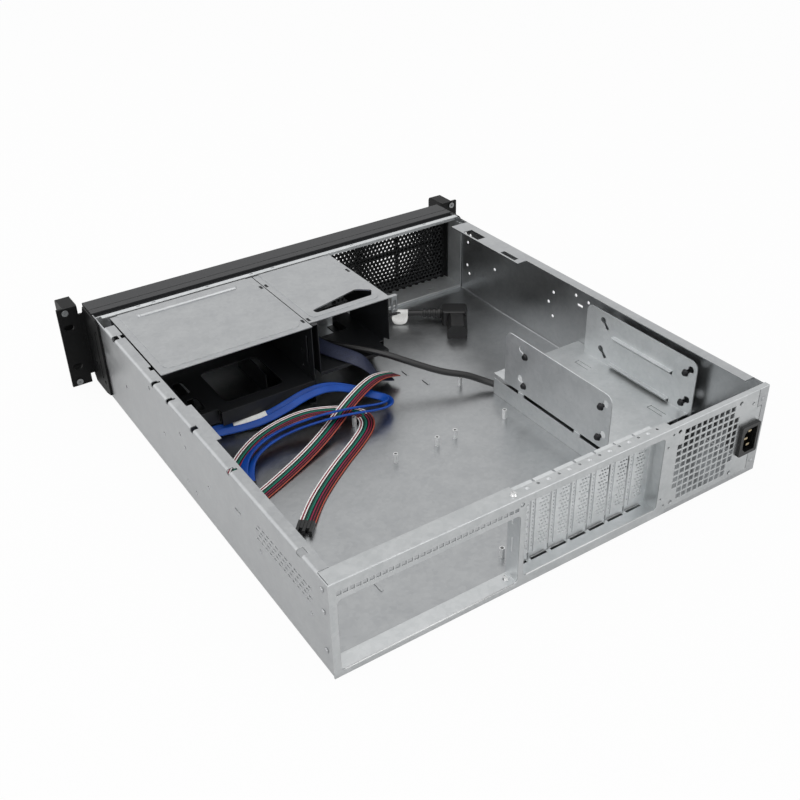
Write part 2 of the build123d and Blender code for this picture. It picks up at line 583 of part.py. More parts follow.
def front_frame():
    """Front wall behind the panel: notched top flange, bay openings and the scalloped ledge."""
    left = INNER - PLAY
    right = -INNER + PLAY
    low = SHEET + PLAY
    face = Rectangle(left - right, CASE_HEIGHT - low)
    face = chamfer(face.vertices().group_by(Axis.Y)[0], BEND)
    face = at((left + right) / 2, (low + CASE_HEIGHT) / 2, face)
    window = (MESH_LEFT - SHEET) - (right + SHEET)
    face -= at((MESH_LEFT + right) / 2, (LEDGE_HEIGHT + 82) / 2, Rectangle(window, 82 - LEDGE_HEIGHT))
    face -= at((LARGE_LEFT + LARGE_RIGHT) / 2, 64, Rectangle(LARGE_LEFT - LARGE_RIGHT - 4, 40))
    face -= at((SMALL_LEFT + SMALL_RIGHT) / 2, 64, Rectangle(SMALL_LEFT - SMALL_RIGHT - 16, 40))
    plate = facing_rear(face, FRAME_PLANE, SHEET)
    under = CASE_HEIGHT - SHEET
    strip = block(left - 5, right, from_rear(FRAME_PLANE + SHEET / 2), from_rear(FRAME_PLANE - FRAME_FLANGE), under,
                  CASE_HEIGHT)
    for x in (171, 155, 97, 48, 23, -74, -170):
        strip -= block(x - 2, x + 2, from_rear(FRAME_PLANE + 2), from_rear(FRAME_PLANE - 1.6), under - 1,
                       CASE_HEIGHT + 1)
    plate += strip
    ledge = block(MESH_LEFT, right + SHEET, from_rear(MESH_PLANE - PLAY), from_rear(LEDGE_BACK),
                  LEDGE_HEIGHT - SHEET, LEDGE_HEIGHT)
    count = int((MESH_LEFT - right) / SCALLOP_PITCH)
    for k in range(count):
        x = MESH_LEFT - SCALLOP_PITCH * (k + 0.5)
        ledge -= drill(SCALLOP, 4 * SHEET, x, from_rear(MESH_PLANE - PLAY), LEDGE_HEIGHT, "z")
    ledge += block(MESH_LEFT, right + SHEET, from_rear(LEDGE_BACK), from_rear(LEDGE_BACK + SHEET), low, LEDGE_HEIGHT)
    ledge -= block(-182, -173, from_rear(LEDGE_BACK + 11), from_rear(LEDGE_BACK + 9), LEDGE_HEIGHT - 2 * SHEET,
                   LEDGE_HEIGHT + 1)
    for x, back in ((right + 0.5, LEDGE_BACK), (MESH_LEFT - SHEET, FRAME_PLANE)):
        ledge += block(x, x + SHEET, from_rear(MESH_PLANE - PLAY), from_rear(back), LEDGE_HEIGHT - SHEET, 82.5)
    return plate + ledge


def front_mesh():
    """Perforated intake wall with staggered holes and short side returns."""
    left, right = MESH_LEFT - 2 * SHEET, -INNER + 2 * SHEET
    low, high = LEDGE_HEIGHT + PLAY, 81.0
    face = at((left + right) / 2, (low + high) / 2, Rectangle(left - right, high - low))
    step = MESH_PITCH * math.sqrt(3) / 2
    columns = int((left - right - 4 - MESH_PITCH / 2) / MESH_PITCH)
    rows = int((high - low - 4) / step)
    start = (left + right + (columns - 0.5) * MESH_PITCH) / 2
    holes = []
    for j in range(rows):
        shift = MESH_PITCH / 2 * (j % 2)
        holes += [at(start - MESH_PITCH * i - shift, low + 4.4 + step * j, RegularPolygon(MESH_HOLE / 2, 6))
                  for i in range(columns)]
    shape = facing_rear(face - holes, MESH_PLANE, SHEET)
    for x in (left - SHEET, right):
        shape += block(x, x + SHEET, from_rear(MESH_PLANE + SHEET / 2), from_rear(MESH_PLANE - 6), low, high)
    return shape


def front_panel():
    """Shallow folded panel over the front: face, top, bottom and ends, with the bay and control openings."""
    half = HALF - PLAY
    low, high = PANEL_GAP / 2, CASE_HEIGHT
    back, front = from_front(PANEL_DEPTH), from_front(0)
    shell = block(-half, half, front, back, low, high)
    shell -= block(-half + PANEL_SHEET, half - PANEL_SHEET, front + PANEL_SHEET, back + 1, low + PANEL_SHEET,
                   high - PANEL_SHEET)
    inner = INNER - FIT
    shell += block(-inner, inner, back - PANEL_SHEET, back, PANEL_STEP - SHEET, high - SHEET / 2)
    shell += block(-inner, inner, back - PANEL_SHEET, from_rear(FRAME_PLANE + SHEET + FIT), PANEL_STEP - SHEET,
                   PANEL_STEP)
    cuts = [block(LARGE_RIGHT + 2, LARGE_LEFT - 2, front - 1, front + 3, 44, 85)]
    cuts.append(block(-half - 1, half + 1, back - 9.4, back - 8.6, high - 0.4, high + 1))
    width, height, pitch = INTAKE_WINDOWS
    for k in (-1, 0, 1):
        for z in (25.5, 63.5):
            window = RectangleRounded(width, height, 3)
            cuts.append(facing_rear(at(-130.5 + k * pitch, z, window), CASE_DEPTH - 3, 5))
    for x, size in control_places():
        cuts.append(drill(size + 0.6, 6, x, front, BUTTON_Z, "y"))
    for x in (BUTTON_X - 7, BUTTON_X - 27):
        cuts.append(block(x - 7, x + 7, front - 1, front + 3, 30, 36.2))
    return shell - cuts


def control_places():
    """Power button, reset button and two indicator holes from left to right, seen from the front."""
    return (
        (BUTTON_X, POWER_WIDTH), (BUTTON_X - CONTROL_STEP, RESET_WIDTH),
        (BUTTON_X - 2 * CONTROL_STEP, 3.2), (BUTTON_X - 2.6 * CONTROL_STEP, 3.2),
    )


def button(x, width):
    """Round push button with a collar that keeps it behind the panel."""
    front = from_rear(CASE_DEPTH + BUTTON_PROUD)
    inner = from_rear(CASE_DEPTH - PANEL_SHEET)
    shaft_end = inner + BUTTON_TRAVEL + 2.6
    shape = drill(width, shaft_end - front, x, (front + shaft_end) / 2, BUTTON_Z, "y")
    collar = inner + PLAY
    shape += drill(width + 2.4, 1.2, x, collar + 0.6, BUTTON_Z, "y")
    return fillet(shape.edges().sort_by(Axis.Y)[0], 0.5)


def control_board():
    """Small circuit board behind the buttons, with its two switches, on posts from the panel."""
    front = from_rear(CASE_DEPTH - PANEL_SHEET)
    face = front + 2.6 + 2 * BUTTON_TRAVEL + 3.0
    board = block(BUTTON_X - 46, BUTTON_X + 10, face, face + BOARD_SHEET, 28, 72)
    for x, width in control_places()[:2]:
        board += block(x - 3, x + 3, face - 2.4, face + SHEET / 2, BUTTON_Z - 3, BUTTON_Z + 3)
    for x in (BUTTON_X - 43, BUTTON_X + 7):
        for z in (31, 69):
            board += drill(4, face - front - FIT, x, (face + front + FIT) / 2, z, "y")
    return board


def usb_ports():
    """Two sockets on the control board, open to the front."""
    front = from_rear(CASE_DEPTH - PANEL_SHEET)
    face = front + 2.6 + 2 * BUTTON_TRAVEL + 3.0 - FIT
    ports = []
    for x in (BUTTON_X - 7, BUTTON_X - 27):
        shell = block(x - 6.6, x + 6.6, front - 0.6, face, 30.3, 35.9)
        shell -= block(x - 6, x + 6, front - 1, face - 1, 30.9, 35.3)
        shell += block(x - 5.4, x + 5.4, front, face - 0.5, 32.8, 34.4)
        ports.append(shell)
    return ports


def status_lights():
    front = from_rear(CASE_DEPTH)
    face = front + PANEL_SHEET + 2.6 + 2 * BUTTON_TRAVEL + 3.0 - FIT
    return [drill(3.0, face - front, x, (face + front) / 2, BUTTON_Z, "y") for x, width in control_places()[2:]]


def bay_blank():
    """Blank that closes the optical drive bay in the panel."""
    front = from_rear(CASE_DEPTH)
    left, right = LARGE_LEFT - 2 - FIT, LARGE_RIGHT + 2 + FIT
    shape = block(right, left, front, front + 6, 44 + FIT, 85 - FIT)
    shape -= block(right + 2, left - 2, front + 2, front + 7, 46 + FIT, 83 - FIT)
    return shape


def bay_cover(left, right, rear):
    """Flat lid of a bay whose middle is raised a little, with rounded rear corners."""
    top = CASE_HEIGHT - SHEET - PLAY
    y0, y1 = from_rear(COVER_FRONT), from_rear(rear)
    shape = block(right, left, y0, y1, top - SHEET, top)
    raised = Rectangle(left - right - 2 * PLATE_MARGIN, y1 - y0 - PLATE_MARGIN)
    raised = fillet(raised.vertices().group_by(Axis.Y)[-1], PLATE_MARGIN)
    middle = Pos((left + right) / 2, (y0 + y1 - PLATE_MARGIN) / 2, top - PLATE_PROUD)
    return shape + extrude(middle * raised, amount=2 * PLATE_PROUD)


def large_cover():
    """Lid of the drive bay with its long bead and two clip notches."""
    shape = bay_cover(LARGE_LEFT, LARGE_RIGHT, LARGE_REAR)
    top = CASE_HEIGHT - SHEET - PLAY
    length, width, proud = BEAD
    bead = Pos((LARGE_LEFT + LARGE_RIGHT) / 2, from_rear(COVER_FRONT - 12), top) * SlotOverall(length, width)
    shape += extrude(bead, amount=PLATE_PROUD + proud, taper=25)
    for distance in (68, 156):
        shape -= block(LARGE_RIGHT + 1, LARGE_RIGHT + 4, from_front(distance), from_front(distance + 7), top - 2,
                       top + 2)
    return shape


def small_cover():
    """Lid of the narrow bay with its opening, bright lip and clip notches."""
    left, right, rear = SMALL_LEFT, SMALL_RIGHT, SMALL_REAR
    top = CASE_HEIGHT - SHEET - PLAY
    shape = bay_cover(left, right, rear)
    corners = ((34.7, 146.0), (-23.0, 131.4), (-35.4, 142.0), (-29.0, 152.0), (34.0, 153.0))
    outline = make_face(Polyline(*[(x, from_front(d)) for x, d in corners], close=True))
    outline = fillet(outline.vertices(), 3)
    shape -= extrude(Pos(0, 0, top - 2) * outline, amount=5)
    shape += block(-27, 32, from_front(153.4), from_front(154.4), top - 4, top + PLATE_PROUD)
    shape += block(right - 8, right + SHEET, from_rear(rear + 4), from_rear(rear), top - SHEET, top)
    shape += block(right - 8, right - 1, from_rear(rear + SHEET), from_rear(rear), top - 18, top)
    shape -= block(right - 6, right - 3, from_rear(rear + 3), from_rear(rear - 2), top - 15, top - 5)
    for distance in (68, 156):
        shape -= block(left - 4, left - 1, from_front(distance), from_front(distance + 7), top - 2, top + 2)
    shape -= block(right + 2, right + 5, from_front(85), from_front(93), top - 2, top + 2)
    return shape


def large_cage():
    """Side walls of the drive bay with their top and bottom flanges."""
    top = CASE_HEIGHT - 2 * SHEET - 2 * PLAY
    low = SHEET + PLAY
    y0, y1 = from_rear(COVER_FRONT), from_rear(LARGE_REAR + 0.4)
    walls = []
    for x, inward in ((LARGE_RIGHT + CAGE_INSET, 1), (LARGE_LEFT - CAGE_INSET - CAGE_SHEET, -1)):
        wall = block(x, x + CAGE_SHEET, y0, y1, low, top)
        edge = x + CAGE_SHEET if inward > 0 else x
        wall += block(edge, edge + inward * 9, y0, y1, top - CAGE_SHEET, top)
        wall += block(edge, edge + inward * 7, y0, y1, low, low + CAGE_SHEET)
        for z, height in ((42, 24), (66, 6)):
            wall -= block(x - 1, x + 2, y1 - 12, y1 - 9, z, z + height)
        wall -= drill(3.4, 6, x, y1 - 22, 34, "x")
        wall -= drill(3.4, 6, x, y1 - 22, 52, "x")
        walls.append(wall)
    return walls


def drive_tray():
    """Black shelf across the drive bay with its fan-sized opening, two slots and folded rear edge."""
    left = LARGE_LEFT - CAGE_INSET - CAGE_SHEET - PLAY
    right = LARGE_RIGHT + CAGE_INSET + CAGE_SHEET + PLAY
    y0, y1 = from_rear(COVER_FRONT), from_rear(LARGE_REAR + 0.6)
    sheet = block(right, left, y0, y1, TRAY_HEIGHT, TRAY_HEIGHT + CAGE_SHEET)
    sheet += block(right, left - TRAY_NOTCH[0], y1 - CAGE_SHEET, y1, TRAY_HEIGHT - TRAY_FLANGE, TRAY_HEIGHT)
    sheet -= block(left - TRAY_NOTCH[0], left + 1, y1 - TRAY_NOTCH[1], y1 + 1, TRAY_HEIGHT - 1, TRAY_HEIGHT + 2)
    ledge = y1 - TRAY_NOTCH[1]
    sheet += block(left - TRAY_NOTCH[0], left, ledge - CAGE_SHEET, ledge, TRAY_HEIGHT - TRAY_FLANGE, TRAY_HEIGHT)
    hole = Pos(109, from_front(127), TRAY_HEIGHT) * RectangleRounded(*TRAY_HOLE, 5)
    sheet -= extrude(hole, amount=3, both=True)
    for distance in (111, 145.5):
        slot = Pos(165.6, from_front(distance), TRAY_HEIGHT) * Rot(0, 0, 90) * RectangleRounded(24, 11, 4)
        sheet -= extrude(slot, amount=3, both=True)
    for x in (LARGE_RIGHT + 34, LARGE_LEFT - 40):
        sheet += block(x, x + CAGE_SHEET, y0 + 20, y1 - 40, SHEET + PLAY, TRAY_HEIGHT)
    return sheet


def small_cage():
    """Black frame of the narrow bay: raised floor, inner wall and a deep outer wall with a way out for a lead."""
    top = CASE_HEIGHT - 2 * SHEET - 2 * PLAY
    low = SHEET + PLAY
    front, rear = from_rear(COVER_FRONT), from_rear(SMALL_WALL_REAR)
    left, right = SMALL_LEFT - 6, SMALL_RIGHT + CAGE_INSET
    foot_y, foot_z = from_rear(SMALL_FOOT[0]), SMALL_FOOT[1]
    step, shoulder = SMALL_CORNER
    outline = Polyline(
        (front, low), (foot_y, low), (foot_y, foot_z), (rear - step, foot_z + 16), (rear - step, shoulder - 3),
        (rear, shoulder), (rear, top), (front, top), close=True,
    )
    wall = make_face(outline)
    wall = fillet(wall.vertices().sort_by_distance(Vector(rear - step, foot_z + 16))[0], 5)
    door_front, door_rear, door_low, door_high = LEAD_DOOR
    door = RectangleRounded(door_rear - door_front, door_high - door_low, 3)
    wall -= at(from_rear((door_front + door_rear) / 2), (door_low + door_high) / 2, door)
    shape = upright(wall, right, CAGE_SHEET)
    shape += block(right, right + 8, front, rear, top - CAGE_SHEET, top)
    shape += block(right, right + 8, front, foot_y - 3, low, low + CAGE_SHEET)
    plate_rear = from_rear(SMALL_FLOOR_REAR)
    plate = block(right, left, front, rear - step, SMALL_FLOOR, SMALL_FLOOR + CAGE_SHEET)
    plate += block(right + 6, left, front, plate_rear, SMALL_FLOOR, SMALL_FLOOR + CAGE_SHEET)
    plate += block(right + 6, left, plate_rear - CAGE_SHEET, plate_rear, SMALL_FLOOR - 3, SMALL_FLOOR)
    plate -= block(right + 18, left - 16, front + 14, plate_rear - 62, SMALL_FLOOR - 1, SMALL_FLOOR + 2)
    shape += plate
    shape += block(left - CAGE_SHEET, left, front, plate_rear, SMALL_FLOOR, top)
    shape += block(left - CAGE_SHEET, left + 5, front, plate_rear, top - CAGE_SHEET, top)
    return shape


def ear(side):
    """Rack ear: slotted plate beside the panel and a flange back along the wall."""
    outer = RACK_WIDTH / 2
    inner = HALF + PLAY
    front, back = from_rear(EAR_FACE), from_rear(EAR_FACE - EAR_SHEET)
    height = CASE_HEIGHT
    face = at((outer + inner) / 2, height / 2, Rectangle(outer - inner, height))
    notch_x, notch_z = EAR_NOTCH
    for z in (notch_z / 2, height - notch_z / 2):
        face -= at(inner + notch_x / 2, z, Rectangle(notch_x, notch_z))
    slot_x = RACK_SLOT_SPAN / 2
    for z in (height / 2 - RACK_SLOT_PITCH / 2 + 15.87, height / 2 + RACK_SLOT_PITCH / 2 - 15.87):
        face -= at(slot_x, z, SlotOverall(*RACK_SLOT))
    for z in (height - 4.5, 4.5):
        face -= at(EAR_SCREW, z, Circle(2.2))
    plate = facing_rear(face, EAR_FACE - EAR_SHEET, EAR_SHEET)
    flange = Polyline(
        (from_rear(EAR_FACE - EAR_SHEET / 2), notch_z), (back + 4, 2), (from_rear(EAR_FLANGE_BACK + 12), 2),
        (from_rear(EAR_FLANGE_BACK), 5), (from_rear(EAR_FLANGE_BACK), height - 4),
        (from_rear(EAR_FLANGE_BACK + 6), height - 1), (back + 4, height - 1),
        (from_rear(EAR_FACE - EAR_SHEET / 2), height - notch_z), close=True,
    )
    plate += upright(make_face(flange), inner, EAR_SHEET - 0.5)
    for distance, z in ((39, 16), (39, 72), (21, 30), (21, 58)):
        plate -= drill(4.2, 8, inner, from_front(distance), z, "x")
    for distance in (33, 15):
        plate -= block(inner + EAR_SHEET - 1.1, inner + EAR_SHEET + 1, from_front(distance), from_front(distance + 3),
                       18, 70)
    return plate if side > 0 else mirror(plate, Plane.YZ)


def handle(side):
    """D-shaped pull handle on the ear, with rounded front corners."""
    outer = RACK_WIDTH / 2 - 6.5
    inner = outer - HANDLE_WIDTH
    front, back = from_rear(TOTAL_DEPTH), from_rear(EAR_FACE + PLAY)
    loop = Rectangle(back - front, CASE_HEIGHT)
    loop = fillet(loop.vertices().sort_by(Axis.X)[:2], 5)
    grip = Rectangle(back - front - HANDLE_BAR, CASE_HEIGHT - 2 * HANDLE_LEG)
    grip = fillet(grip.vertices().sort_by(Axis.X)[:2], 6)
    shape = loop - Pos(HANDLE_BAR / 2) * grip
    solid = upright(Pos((front + back) / 2, CASE_HEIGHT / 2) * shape, inner, HANDLE_WIDTH)
    for z in (4.5, CASE_HEIGHT - 4.5):
        solid -= drill(3.2, 16, EAR_SCREW, back, z, "y")
    return solid if side > 0 else mirror(solid, Plane.YZ)


def handle_screws():
    """Countersunk screws that hold the handles, seen from behind as bright rings."""
    back = from_rear(EAR_FACE - EAR_SHEET)
    screws = []
    for side in (-1, 1):
        for z in (4.5, CASE_HEIGHT - 4.5):
            x = side * EAR_SCREW
            screw = drill(2.8, EAR_SHEET + 6, x, back - (EAR_SHEET + 6) / 2 + 0.5, z, "y")
            screw += Pos(x, back + 0.7, z) * Rot(90, 0, 0) * Cone(3.4, 2.6, 1.2)
            screw -= drill(2.0, 2, x, back + 1.3, z, "y")
            screws.append(screw)
    return screws


def wall_rivets():
    """Domed rivets that join the rear panel and the front parts to the walls."""
    places = [(HALF, 9.0, z, 1) for z in (21.0, 58.0, 78.4)]
    rivets = []
    for x, distance, z, side in places:
        dome = Pos(x + side * PLAY, from_rear(distance), z) * Rot(0, 90 * side, 0)
        rivets.append(dome * Cone(2.4, 1.5, 0.9, align=(Align.CENTER, Align.CENTER, Align.MIN)))
    for x, z in ((-HALF + REAR_STRIP / 2, 11.5), (-HALF + REAR_STRIP / 2, 76.0)):
        dome = Pos(x, REAR_Y, z) * Rot(-90, 0, 0)
        rivets.append(dome * Cone(2.2, 1.4, 0.8, align=(Align.CENTER, Align.CENTER, Align.MIN)))
    return rivets


def frame_screws():
    """Pan-head screws of the recess shelf and the rear flange."""
    shelf = (IO_RIGHT + 4.5, from_rear(9.0), IO_BOTTOM)
    flange = (55.4, from_rear(6.2), CASE_HEIGHT)
    return [screw_down(*shelf), screw_down(*flange)]


def screw_down(x, y, z):
    head = Pos(x, y, z + PLAY) * Cone(2.9, 2.1, 1.6, align=(Align.CENTER, Align.CENTER, Align.MIN))
    return head - Pos(x, y, z + 1.6) * Box(0.8, 4.0, 1.0)


def corner_radii(points):
    """Radius of each bend: 0.45 of the shorter run beside it, over the tangent of half the turn."""
    spots = [Vector(*p) for p in points]
    radii = []
    for before, corner, after in zip(spots, spots[1:], spots[2:]):
        first, second = corner - before, after - corner
        turn = math.radians(first.get_angle(second))
        radii.append(0.45 * min(first.length, second.length) / math.tan(turn / 2))
    return radii


def lead_path(points):
    radii = corner_radii(points)
    path = FilletPolyline(*points, radius=radii)
    print("bend radii", [round(r) for r in radii], "length", round(path.length))
    return path


def round_lead(points, diameter):
    """Tube along straight runs joined by tangent arcs."""
    path = lead_path(points)
    start = Plane(origin=path @ 0, z_dir=path % 0)
    return sweep(start * Circle(diameter / 2), path=path)


def flat_lead(points, width, thickness):
    """Flat cable that stays level across its width, guided by the same route higher up."""
    path = lead_path(points)
    heading = path % 0
    side = heading.cross(Vector(0, 0, 1)).normalized()
    start = Plane(origin=path @ 0, x_dir=side, z_dir=heading)
    guide = Pos(0, 0, 4 * width) * path
    return sweep(start * Rectangle(width, thickness), path=path, binormal=guide)


def rear_points(points):
    """Route given as X, distance in front of the rear face and Z."""
    return [(x, along(distance), z) for x, distance, z in points]


MAINS_ROUTE = (
    (-197.4, 14.1, 40.4), (-197.4, 32, 40.4), (-195, 52, 27), (-186, 76, 12), (-172, 104, 4.7), (-152, 142, 4.6),
    (-132, 180, 4.7), (-120, 213, 4.8), (-102, 241, 8.5), (-86, 253, 16.5), (-66, 267, 19.5), (-44, 287, 28),
    (-21, 310, 37), (-3, 335, 37), (14, 360, 36.4), (20, 385, 36.4), (8, 408, 36.4), (-16, 419, 37.4),
    (-44, 420, 37), (-68, 420, 26), (-84, 421, 13), (-100, 418, 9.4), (-130, 397.5, 9.4),
)
SLEEVE_ROUTE = (
    (5, 477.8, 50), (5, 462, 50), (14, 444, 50), (27, 420, 48), (32, 394, 45), (30, 368, 42), (22, 346, 39),
    (13, 330, 37.5), (5, 317, 35.8), (-3, 311, 30), (-11, 309, 18), (-18, 308, 10), (-30, 307, 6.4),
)
RIBBON_ROUTE_A = (
    (191, 202, 2.0), (164, 213, 2.0), (135, 226, 2.4), (103, 241, 4), (71, 257, 9), (38, 275, 18), (6, 289, 23.5),
    (-16, 299, 18.5), (-34, 306, 9.5),
)
RIBBON_ROUTE_B = (
    (190, 203, 3.6), (189, 219, 3.6), (184, 236, 2.6), (172, 254, 2.6), (153, 272, 5), (130, 284, 9),
    (104, 289, 12), (77, 288, 14), (54, 284, 10.5), (38, 277, 8), (27, 267, 5), (31, 251, 2.6), (55, 233, 2),
    (83, 215, 2), (113, 193, 2), (135, 174, 2), (150, 157, 3.2),
)
DATA_ROUTE_A = (
    (178, 325, 7.5), (160, 323, 7.5), (137, 317, 7.5), (114, 312, 9.5), (92, 309, 16), (68, 308, 24), (44, 305, 25),
    (22, 299, 17), (4, 287, 9), (-6, 272, 8), (1, 257, 11), (19, 251, 15.5), (42, 256, 18), (68, 262, 18),
    (97, 267, 16), (124, 267, 13), (146, 259, 10), (160, 245, 7.5), (166, 228, 6.8),
)
DATA_SHIFT = 8.0
DATA_LIFT = 2.6


def mains_lead():
    return round_lead(rear_points(MAINS_ROUTE), MAINS_LEAD)


def plug_frame():
    """Plane at the cord end of the plug: X along the cord, Y away from the pin face, Z up."""
    before, last = rear_points(MAINS_ROUTE[-2:])
    heading = (Vector(*last) - Vector(*before)).normalized()
    return Plane(origin=last, x_dir=heading, z_dir=(0, 0, 1))


def strain_relief():
    """Boot between the lead and the plug, with thick separate rings."""
    frame = plug_frame()
    boot = frame * Pos(PLAY, 0, 0) * Rot(0, 90, 0) * Cone(
        MAINS_LEAD / 2 + 0.3, 4.4, BOOT_LENGTH, align=(Align.CENTER, Align.CENTER, Align.MIN))
    for k in range(BOOT_RINGS):
        ring = frame * Pos(3.0 + k * BOOT_LENGTH / BOOT_RINGS, 0, 0) * Rot(0, 90, 0)
        boot += ring * fillet(Cylinder(4.9 + 0.25 * k, 3.4).edges(), 0.8)
    return boot


def mains_plug():
    """Right-angled appliance plug: rounded back, straight nose with chamfered corners and three slots."""
    frame = plug_frame()
    z0 = SHEET + PLAY - MAINS_ROUTE[-1][2]
    length, width, height = PLUG_BODY
    near = BOOT_LENGTH + 2 * PLAY
    back = fillet(Rectangle(length, width).vertices(), 4)
    body = extrude(Pos(near + length / 2, 7 - width / 2, z0) * back, amount=height)
    body = fillet(body.edges().group_by(Axis.Z)[-1], 1.6)
    nose_length, nose_width = PLUG_NOSE
    half = nose_width / 2
    top = height - 1.4
    end = Polyline((-half, 0), (half, 0), (half, top - 5), (half - 4, top), (4 - half, top), (-half, top - 5),
                   close=True)
    middle = near + length - half - 0.6
    nose = extrude(Pos(middle, -width / 2, z0) * Rot(90, 0, 0) * make_face(end), amount=nose_length - width / 2 + 7)
    body += nose
    for dx, dz in ((0, 3), (-6.4, -2.2), (6.4, -2.2)):
        body -= Pos(middle + dx, 6 - nose_length, z0 + top / 2 + dz) * Box(2.4, 18, 4.6)
    return frame * body


def lead_label():
    """Paper flag closed round the lead near the plug, its tail resting on the floor."""
    before, last = rear_points(MAINS_ROUTE[-2:])
    heading = (Vector(*last) - Vector(*before)).normalized()
    frame = Plane(origin=Vector(*last) - heading * (LABEL[0] / 2 + LABEL_START), x_dir=heading, z_dir=(0, 0, 1))
    outer = MAINS_LEAD / 2 + PLAY + 0.4
    loop = Rot(0, 90, 0) * (Cylinder(outer, LABEL[0]) - Cylinder(outer - 0.4, 2 * LABEL[0]))
    tail = Pos(0, LABEL[1] / 2, 0.2 - outer) * Box(LABEL[0], LABEL[1], 0.4)
    return frame * (loop + tail)


def data_lead(offset):
    """Flat drive data cable; the second one lies beside the first."""
    points = rear_points(DATA_ROUTE_A)
    if offset:
        points = shifted(points, offset)
    return flat_lead(points, DATA_LEAD, DATA_THICK)


def shifted(points, offset):
    """Route moved sideways by a constant distance in plan, and lifted clear of the first cable."""
    moved = []
    for index, point in enumerate(points):
        before = Vector(*points[max(index - 1, 0)])
        after = Vector(*points[min(index + 1, len(points) - 1)])
        side = (after - before).cross(Vector(0, 0, 1)).normalized() * offset
        moved.append((point[0] + side.X, point[1] + side.Y, point[2] + DATA_LIFT))
    return moved


def data_plugs():
    """Drive data plugs at both ends of the two flat cables."""
    plugs = []
    for offset in (0, DATA_SHIFT):
        points = rear_points(DATA_ROUTE_A)
        if offset:
            points = shifted(points, offset)
        for end, inner in ((points[0], points[1]), (points[-1], points[-2])):
            heading = (Vector(*end) - Vector(*inner)).normalized()
            flat = Vector(heading.X, heading.Y, 0).normalized()
            place = Plane(origin=end, x_dir=flat, z_dir=(0, 0, 1))
            plugs.append(place * Pos(8.0 + FIT, 0, 0) * Box(16, DATA_SHIFT - FIT, 4.6))
    return plugs


def data_sleeve():
    """Short white sleeve round the first data cable, bent with it over the first corner of its route."""
    points = rear_points(DATA_ROUTE_A)
    radius = corner_radii(points)[1]
    before, corner, after = [Vector(*p) for p in points[1:4]]
    path = FilletPolyline(corner + (before - corner) * 0.62, corner, corner + (after - corner) * 0.62, radius=radius)
    outer_width, outer_height, width, height = LEAD_SLEEVE
    heading = path % 0
    start = Plane(origin=path @ 0, x_dir=heading.cross(Vector(0, 0, 1)).normalized(), z_dir=heading)
    section = Rectangle(outer_width, outer_height) - Rectangle(width, height)
    return sweep(start * section, path=path, binormal=Pos(0, 0, 4 * outer_width) * path)


def ribbon_plugs():
    """Cluster of small black pin housings on the end of the panel leads."""
    last, before = rear_points(RIBBON_ROUTE_B)[-1], rear_points(RIBBON_ROUTE_B)[-2]
    heading = Vector(last[0] - before[0], last[1] - before[1], 0).normalized()
    frame = Plane(origin=last, x_dir=heading, z_dir=(0, 0, 1))
    plugs = []
    for k in range(PIN_HOUSINGS):
        length = 14 - (k % 2) * 4
        plugs.append(frame * Pos(length / 2 + FIT, (k - (PIN_HOUSINGS - 1) / 2) * 2.9, 0.6) * Box(length, 2.6, 5.0))
    return plugs


def solids_of(shape):
    """Every solid of a shape or a list of shapes."""
    if isinstance(shape, (list, tuple)):
        return [s for item in shape for s in solids_of(item)]
    return list(shape.solids())


def build_nodes():
    nodes = {
        "base_pan": base_pan(),
        "rear_panel": rear_panel(),
        "expansion_frame": expansion_frame(),
        "power_inlet": power_inlet(),
        "inlet_pins": inlet_pins(),
        "standoffs": standoffs(),
        "drive_cradle": drive_cradle(),
        "cradle_support_left": cradle_support(CRADLE_LEFT, -SUPPORT_FOOT),
        "cradle_support_right": cradle_support(CRADLE_RIGHT - SHEET, SUPPORT_FOOT),
        "cradle_screws": key_screws(CRADLE_LEFT, key_places(0)),
        "cradle_screws_inner": key_screws(CRADLE_RIGHT, key_places(FAR_PLATE_BACK)[:2]),
        "front_frame": front_frame(),
        "front_mesh": front_mesh(),
        "front_panel": front_panel(),
        "bay_blank": bay_blank(),
        "power_button": button(BUTTON_X, POWER_WIDTH),
        "reset_button": button(BUTTON_X - CONTROL_STEP, RESET_WIDTH),
        "control_board": control_board(),
        "usb_ports": usb_ports(),
        "status_lights": status_lights(),
        "bay_cover_large": large_cover(),
        "bay_cover_small": small_cover(),
        "bay_cage_large": large_cage(),
        "bay_cage_small": small_cage(),
        "drive_tray": drive_tray(),
        "ear_left": ear(1),
        "ear_right": ear(-1),
        "handle_left": handle(1),
        "handle_right": handle(-1),
        "handle_screws": handle_screws(),
        "wall_rivets": wall_rivets(),
        "frame_screws": frame_screws(),
        "power_cord": mains_lead(),
        "cord_strain_relief": strain_relief(),
        "cord_plug": mains_plug(),
        "cord_label": lead_label(),
        "data_cable_1": data_lead(0),
        "data_cable_2": data_lead(DATA_SHIFT),
        "data_cable_sleeve": data_sleeve(),
        "data_cable_plugs": data_plugs(),
        "panel_ribbon_1": flat_lead(rear_points(RIBBON_ROUTE_A), RIBBON, RIBBON_THICK),
        "panel_ribbon_2": flat_lead(rear_points(RIBBON_ROUTE_B), RIBBON, RIBBON_THICK),
        "ribbon_sleeve": flat_lead(rear_points(SLEEVE_ROUTE), *SLEEVE),
        "ribbon_plugs": ribbon_plugs(),
    }
    for index, x in enumerate(slot_centres(), start=1):
        nodes[f"slot_cover_{index}"] = slot_cover(x)
    return nodes


def main():
    os.makedirs("parts", exist_ok=True)
    for name, shape in build_nodes().items():
        export_step(Compound(children=solids_of(shape)), f"parts/{name}.step")


if __name__ == "__main__":
    main()
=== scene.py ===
import math

import bmesh
import bpy
import numpy as np
from bpy.props import FloatProperty, FloatVectorProperty, PointerProperty, StringProperty
from mathutils import Matrix, Vector


